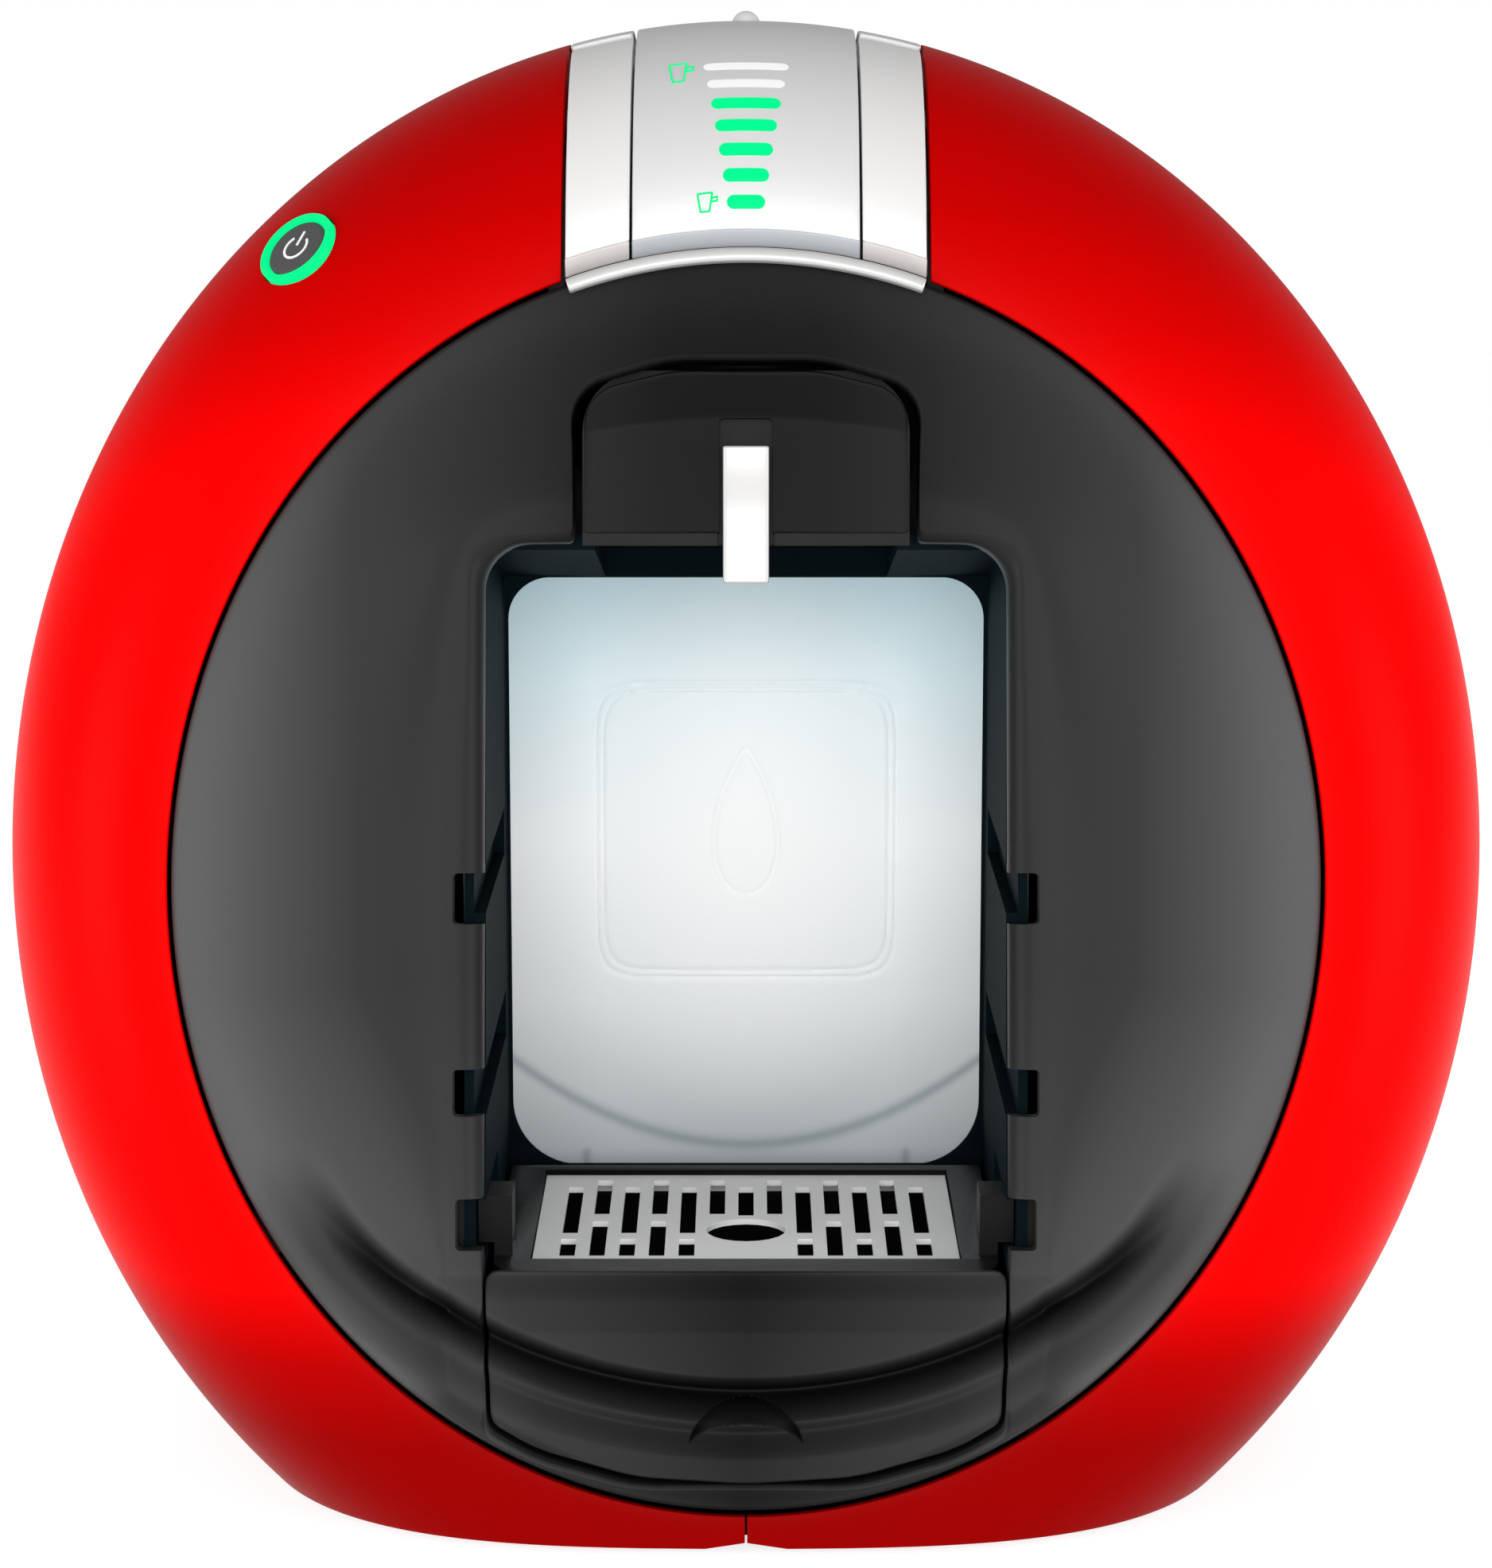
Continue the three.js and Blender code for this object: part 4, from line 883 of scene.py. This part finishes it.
def cup_mark(name, x, s, size):
    """A small outlined cup of a half width and half height: a tapered body and a handle."""
    size = np.asarray(size)
    body = np.array([[-1, 1], [0.72, 1.08], [0.42, -1], [-0.62, -1.04], [-1, 1]]) * size
    handle = np.array([[0.62, 0.42], [1.3, 0.62], [1.28, 0.12], [0.56, 0.06]]) * size
    for part, line in [("body", body), ("handle", handle)]:
        stroke(f"{name}_{part}", spaced(line + (x, s)), 0.34, GREEN, "body",
               lambda p, h: on_band(p[:, 0], p[:, 1], h))


def handle_arm(side):
    """One arm: the band's top between two sideways limits, thickened inward."""
    x = np.linspace(ARM_IN, ARM_OUT, 14)[:, None] * side
    s = np.linspace(END_S + 0.1, arc_at(ARM_END), 70)[None, :]
    lift = ARM_LIFT + 0 * x + 0 * s
    name = sided(side, "arm")
    mesh = point_up(grid_mesh(name, on_band(x, s, lift), outward=False), (0, -0.5, 1))
    piece = finish_piece(mesh, name, BRIGHT, "handle", (), 45)
    return thicken(piece, ARM_WALL, 0.4)


def end_bevel(name, x0, x1, material, body, lift=0.0):
    """The sloped end below the panel or an arm: the band falls away towards the lip."""
    x = np.linspace(x0, x1, 24)[:, None]
    s = np.linspace(0.3, END_S + 0.02, 8)[None, :]
    fall = lift - 0.05 - 1.5 * ((END_S - np.minimum(s, END_S)) / END_S) + 0 * x
    mesh = point_up(grid_mesh(name, on_band(x, s, fall), outward=False), (0, -0.5, 1))
    return thicken(finish_piece(mesh, name, material, body, (), 50), 1.6, 0.12)


def handle_lip():
    """The lip: a rounded bar whose section is swept round the rim's top between the arms."""
    section = round_corners([(-2.8, -53.0, 0.3), (-0.2, -53.0, 0.3), (-0.3, -56.2, 0.9),
                             (-2.8, -56.6, 0.8)], 6)
    reach = math.asin(ARM_OUT / RIM_A)
    turn = np.pi / 2 - np.linspace(-reach, reach, 90)[:, None]
    grow, depth = section[None, :, 0], section[None, :, 1]
    points = to_machine((RIM_A + grow) * np.cos(turn), depth + 0 * turn,
                        RIM_C + (RIM_B + grow) * np.sin(turn))
    mesh = grid_mesh("handle_lip", points, wrap_columns=True, caps=True)
    # The lip takes the shaded copy of the satin chrome.
    piece = finish_piece(mesh, "handle_lip", LIP_SHADED, "handle",
                         ("lock_handle",), 40)
    return soften(piece, 0.35, 60)


def rear_strip(side):
    """A light strip behind an arm, over the crest."""
    m = np.linspace(STRIP_START, PANEL_END, 36)
    x = np.linspace(STRIP_IN, STRIP_OUT, 14)[:, None] * side
    s = np.interp(m, ARC_M, ARC_LENGTH)[None, :]
    name = sided(side, "rear_strip")
    mesh = point_up(grid_mesh(name, on_band(x, s), outward=False), (0, -0.2, 1))
    piece = finish_piece(mesh, name + "_skin", PANEL, "body", (name,), 50)
    return thicken(piece, SHEET, 0.3)


# ---------- controls
def power_control():
    """A lit ring and a domed cap turned about the shell's normal, with an on mark."""
    ring = [(6.45, -4), (7.85, -4), (7.85, 0.55), (7.6, 0.9), (7.15, 1.0), (6.7, 0.9), (6.45, 0.6)]
    mesh = grid_mesh("power_light", turned(POWER_POINT, POWER_NORMAL, ring), True, True)
    finish_piece(mesh, "power_light", GREEN, "body", ("power_ring",), 40)
    cap = [(0, -3), (6.1, -3), (6.1, 0.15), (5.85, 0.42), (5.3, 0.5), (0, 0.5)]
    mesh = grid_mesh("power_cap", turned(POWER_POINT, POWER_NORMAL, cap), wrap_columns=True)
    finish_piece(mesh, "power_cap", CAP, "power", ("power_button",), 40)
    level, up, along = axis_frame(POWER_NORMAL)

    def place(p, h):
        return (POWER_POINT + p[:, :1] * level + p[:, 1:] * up + (0.5 + h) * along)

    turn = np.radians(np.linspace(130, 410, 60))
    arc = np.stack([2.5 * np.cos(turn), 2.5 * np.sin(turn)], -1)
    stroke("power_mark_arc", arc, 0.5, WHITE, "power", place)
    stroke("power_mark_line", spaced([(0, 0.4), (0, 3.6)]), 0.5, WHITE,
           "power", place)


def selector_knob():
    """The selector: a bright ball on a stem that turns on a hub below."""
    angle = np.linspace(-0.98, np.pi / 2, 24)
    point = to_machine(0.0, KNOB_M, KNOB_W)
    ball = KNOB_RADIUS * np.stack([np.cos(angle), np.sin(angle)], -1)
    profile = np.concatenate([[[0, -STEM_LENGTH], [STEM_RADIUS, -STEM_LENGTH]], ball])
    mesh = grid_mesh("selector_knob", turned(point, (0, SIN, COS), profile), wrap_columns=True)
    finish_piece(mesh, "selector_knob", BRIGHT, "selector", ("selector_lever",), 60)
    hub = [(0, -5), (3.2, -5), (3.5, -4.7), (3.5, 4.7), (3.2, 5), (0, 5)]
    low = to_machine(0.0, KNOB_M, KNOB_W - STEM_LENGTH)
    mesh = grid_mesh("selector_hub", turned(low, (0, 1, 0), hub, 48), wrap_columns=True)
    finish_piece(mesh, "selector_hub", BRIGHT, "selector", (), 40)


def pull_strip():
    """The bright strip in the holder's slot: a rounded bar that hangs below its lower edge."""
    w = np.linspace(PULL_LOW, PULL_HIGH, 40)[:, None]
    section = round_corners([(-4.2, 0, 0.5), (4.2, 0, 0.5), (4.2, -2.0, 0.7),
                             (-4.2, -2.0, 0.7)], 6)
    depth = PULL_M - 2.4 * smooth((w - 46) / 16)
    points = to_machine(section[None, :, 0], depth + section[None, :, 1], w)
    mesh = grid_mesh("pull_strip", points, wrap_columns=True, caps=True)
    # The pull takes the shaded copy of the satin chrome.
    piece = finish_piece(mesh, "pull_strip", LIP_SHADED, "holder",
                         ("holder_pull",), 40)
    return soften(piece, 0.35, 60)


def window_surround():
    """A flat ring in front of the tank whose opening is a rectangle with round corners."""
    x, low, high = WINDOW_HALF, WINDOW_LOW, WINDOW_HIGH
    inner = dense(round_corners([(x, low, 13.5), (x, high, 8.5), (0, high + 1.7, 200),
                                 (-x, high, 8.5), (-x, low, 13.5)], 14), 0.5)
    middle = np.array([0.0, (low + high) / 2])
    half, tall = 48.0, 66.5
    offset = inner - middle
    stretch = 1 / np.maximum(np.abs(offset[:, 0]) / half, np.abs(offset[:, 1]) / tall)
    outer = middle + offset * np.maximum(stretch, 1.0)[:, None]
    rows = []
    for line, y in [(inner, 1.35), (inner, 0.3), (inner + 0.25 * offset / half, 0.0),
                    (outer, 0.0), (outer, 1.35)]:
        rows.append(np.column_stack([line[:, 0], np.full(len(line), y), line[:, 1]]))
    mesh = grid_mesh("window_surround", np.stack(rows), wrap_rows=True, wrap_columns=True)
    return finish_piece(mesh, "window_surround", LINER, "body", (), 40)


# ---------- tank and rear
def tank_line(inset=0.0):
    """The tank's plan: a straight front with round corners and a half ellipse behind."""
    half, front = TANK_HALF - inset, TANK_FRONT + inset
    turn = np.linspace(0, np.pi, 90)
    back = np.stack([half * np.cos(turn), TANK_MID + (TANK_DEEP - inset) * np.sin(turn)], -1)
    start = round_corners([(-half, TANK_MID, 0), (-half, front, 6 - inset / 2),
                           (half, front, 6 - inset / 2), (half, TANK_MID, 0)], 10)
    line = dense(np.concatenate([back, start[1:-1]]), 0.1)
    return line[np.linspace(0, len(line), 900, endpoint=False).astype(int)]


def emboss(x, z):
    """Two thin lines round a rounded square and a plain drop in its middle."""
    size = EMBLEM_LINES[1] + 0.2
    square = (np.abs(x / size) ** 9 + np.abs((z - EMBLEM_Z) / size) ** 9) ** (1 / 9) * size
    lines = sum(np.exp(-((square - r) / 0.32) ** 2) for r in EMBLEM_LINES)
    rise = np.clip((z - 99) / 30, 0, 1)
    width = 9.5 * np.sqrt(np.clip(rise, 0, 1)) * (1 - rise) ** 0.9 * 1.7
    drop = np.exp(-((np.abs(x) - width) / 0.4) ** 2) * (rise > 0) * (rise < 1)
    return 0.35 * np.maximum(lines, drop)


def water_tank():
    """The vessel: rows up the outside, over the lip and down the inside to the floor."""
    outer, inner = tank_line(), tank_line(TANK_WALL)
    rows = []

    def row(line, z, scale=1.0):
        at = TANK_CENTRE + (line - TANK_CENTRE) * scale
        rows.append(np.column_stack([at, np.full(len(at), float(z))]))

    row(outer, TANK_Z0, 0.0)
    row(outer, TANK_Z0, 0.97)
    row(outer, TANK_Z0 + 0.8, 0.993)
    for z in np.linspace(TANK_Z0 + 2.5, TANK_Z1 - 0.6, 330):
        row(outer, z)
        front = rows[-1][:, 1] < TANK_FRONT + 0.05
        rows[-1][:, 1] += np.where(front, emboss(rows[-1][:, 0], z), 0)
    row(outer, TANK_Z1, 0.994)
    row(inner, TANK_Z1, 1.004)
    for z in np.linspace(TANK_Z1 - 0.8, TANK_Z0 + TANK_WALL, 20):
        row(inner, z)
    row(inner, TANK_Z0 + TANK_WALL, 0.0)
    mesh = grid_mesh("tank_vessel", np.stack(rows), wrap_columns=True)
    # Painted shade: a dark sagging line and ticks across the tank's front.
    mark_painted_shade(mesh, tank_shade_line)
    return finish_piece(mesh, "tank_vessel", CLEAR, "tank", ("water_tank",), 45)


def tank_cover():
    """The lid: the tank's plan with a rolled edge."""
    line = tank_line()
    rows = [np.column_stack([TANK_CENTRE + (line - TANK_CENTRE) * scale,
                             np.full(len(line), float(z))])
            for scale, z in [(0, 190.3), (1, 190.3), (1, 193.2), (0.993, 194.0),
                             (0.98, 194.3), (0, 194.3)]]
    mesh = grid_mesh("tank_cover", np.stack(rows), wrap_columns=True)
    return finish_piece(mesh, "tank_cover", BLACK, "lid", ("tank_lid",), 40)


def rear_cheek(side):
    """One rear cheek: the dome outside the tank bay's wall, thickened inward."""
    wall = CHANNEL_HALF + WALL
    keep = (wall + 0.4 - REAR_A) / (BELLY_A - REAR_A)
    end = math.acos(keep ** (BACK_POWER / 2)) * 2 / math.pi
    a, b, c, m = dome(np.linspace(seam_share(), end, 46))
    high = np.arccos(np.clip(wall / a, -1, 1))
    low = skirt_angle(a, b, c, m, wall)
    angles = high[:, None] + (low - high)[:, None] * np.linspace(0, 1, 150)[None, :]
    points = ellipse_grid(a, b, c, m, angles)
    points[..., 0] *= side
    name = sided(side, "rear_cheek")
    mesh = point_up(grid_mesh(name, points, outward=False), (side, 0.3, 0))
    piece = finish_piece(mesh, name, BLACK, "body", (), 50)
    return thicken(piece, WALL, 0.5)


def rear_walls():
    """The tank bay's walls, kept from the frame between the cheeks."""
    return copied("rear_housing", "bay_walls", BLACK, "body",
                  (-CHANNEL_HALF - WALL, -60, -5), (CHANNEL_HALF + WALL, 130, 300))


# ---------- carried-over nodes
def finish_nodes():
    """Gives every CAD node that still shows the material of its slot."""
    looks = {"red_gloss": RED, "dish_grey": DISH, "black_plastic": BLACK, "grey_plastic": GREY,
             "white_plastic": WHITE, "silver_panel": PANEL, "chrome_trim": BRIGHT,
             "light_green": GREEN, "rubber": RUBBER, "steel": STEEL, "cast_aluminium": ALLOY,
             "tank_clear": CLEAR, "circuit_board": BOARD, "hose": RUBBER}
    own = {"drip_grid": GRILLE_LIT, "cavity_liner": LINER}
    slots = {part["node"]: part["material_slot"] for part in named_rows(frame["record"])}
    for name, node in frame["nodes"].items():
        material = own.get(name) or looks.get(slots.get(name), GREY)
        if not node.material_slots:
            node.data.materials.append(material)
        for holder in node.material_slots:
            holder.material = material


def named_rows(record):
    """Every row of the record that names a node and its slot."""
    found, stack = [], [record]
    while stack:
        item = stack.pop()
        if isinstance(item, dict):
            if "node" in item and "material_slot" in item:
                found.append(item)
            stack += list(item.values())
        elif isinstance(item, list):
            stack += item
    return found


# ---------- stage
def floor():
    """A wide pale floor, closed below."""
    span = (-FLOOR_HALF, FLOOR_HALF)
    mesh = grid_mesh("floor", box_grid(span, span, (-40, 0)), wrap_columns=True, caps=True)
    ground = bpy.data.objects.new("floor", mesh)
    bpy.context.collection.objects.link(ground)
    material, _, shader = new_material("floor_paper")
    shader.inputs["Base Color"].default_value = (0.55, 0.55, 0.55, 1)
    shader.inputs["Emission Color"].default_value = (1, 1, 1, 1)
    shader.inputs["Emission Strength"].default_value = FLOOR_GLOW
    shader.inputs["Roughness"].default_value = 0.9
    shader.inputs["Specular IOR Level"].default_value = 0
    mesh.materials.append(material)
    ground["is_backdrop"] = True


def soft_light(name, place, target, size, watts):
    """A square soft light that looks at its target."""
    lamp = bpy.data.lights.new(name, "AREA")
    lamp.size, lamp.energy = size, watts
    light = bpy.data.objects.new(name, lamp)
    light.location = place
    light.rotation_euler = (Vector(target) - Vector(place)).to_track_quat("-Z", "Y").to_euler()
    bpy.context.collection.objects.link(light)


def studio():
    """White surroundings, dimmer as light than they look, and three soft lights."""
    bpy.context.scene.view_settings.view_transform = "Standard"
    world = bpy.data.worlds.new("studio")
    world.use_nodes = True
    tree = world.node_tree
    sky = tree.nodes["Background"]
    sky.inputs["Color"].default_value = (1, 1, 1, 1)
    seen = tree.nodes.new("ShaderNodeLightPath")
    share = map_range(tree, seen.outputs["Is Camera Ray"], 0, 1, AMBIENT, 1.0)
    tree.links.new(share, sky.inputs["Strength"])
    bpy.context.scene.world = world
    for name, place, size in [("front_light", (0, -1.7, 0.5), 0.9),
                              ("left_light", (-1.25, -0.75, 0.15), 0.8),
                              ("right_light", (1.25, -0.75, 0.15), 0.8)]:
        soft_light(name, place, (0, 0, 0.13), size, LIGHT_WATTS)


def camera():
    """Looks 10 degrees down, straight along the ring's axis."""
    lens = bpy.data.cameras.new("camera")
    lens.lens, lens.sensor_width = CAMERA_LENS, 36
    eye = bpy.data.objects.new("camera", lens)
    eye.location = CAMERA_PLACE
    eye.rotation_euler = (math.radians(CAMERA_TILT), 0, 0)
    bpy.context.collection.objects.link(eye)
    bpy.context.scene.camera = eye


camera()
studio()
floor()
finish_nodes()
for side in (-1, 1):
    side_shell(side)
    handle_arm(side)
    rear_strip(side)
    rear_cheek(side)
    notch_back(side)
dish()
tray_front()
tray_deck()
grid_plate()
holder_face()
panel_sheet()
level_bars()
cup_mark("small_cup", -7.2, 8.4, (1.55, 1.65))
cup_mark("large_cup", -12.2, 37.6, (1.9, 2.6))
handle_lip()
# The bevels take the shaded copies of the panel's and the arms' metal.
end_bevel("panel_bevel", -PANEL_HALF, PANEL_HALF, BEVEL, "body")
end_bevel("left_arm_bevel", -ARM_OUT, -ARM_IN, BEVEL_WARM_SHADED, "handle",
          ARM_LIFT)
end_bevel("right_arm_bevel", ARM_IN, ARM_OUT, BEVEL_WARM_SHADED, "handle",
          ARM_LIFT)
power_control()
selector_knob()
pull_strip()
window_surround()
water_tank()
tank_cover()
rear_walls()


def corners(box):
    """A box's two corners as plain lists."""
    return [[float(k) for k in point] for point in box]


{"cad": corners(cad_box), "visual": corners(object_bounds())}
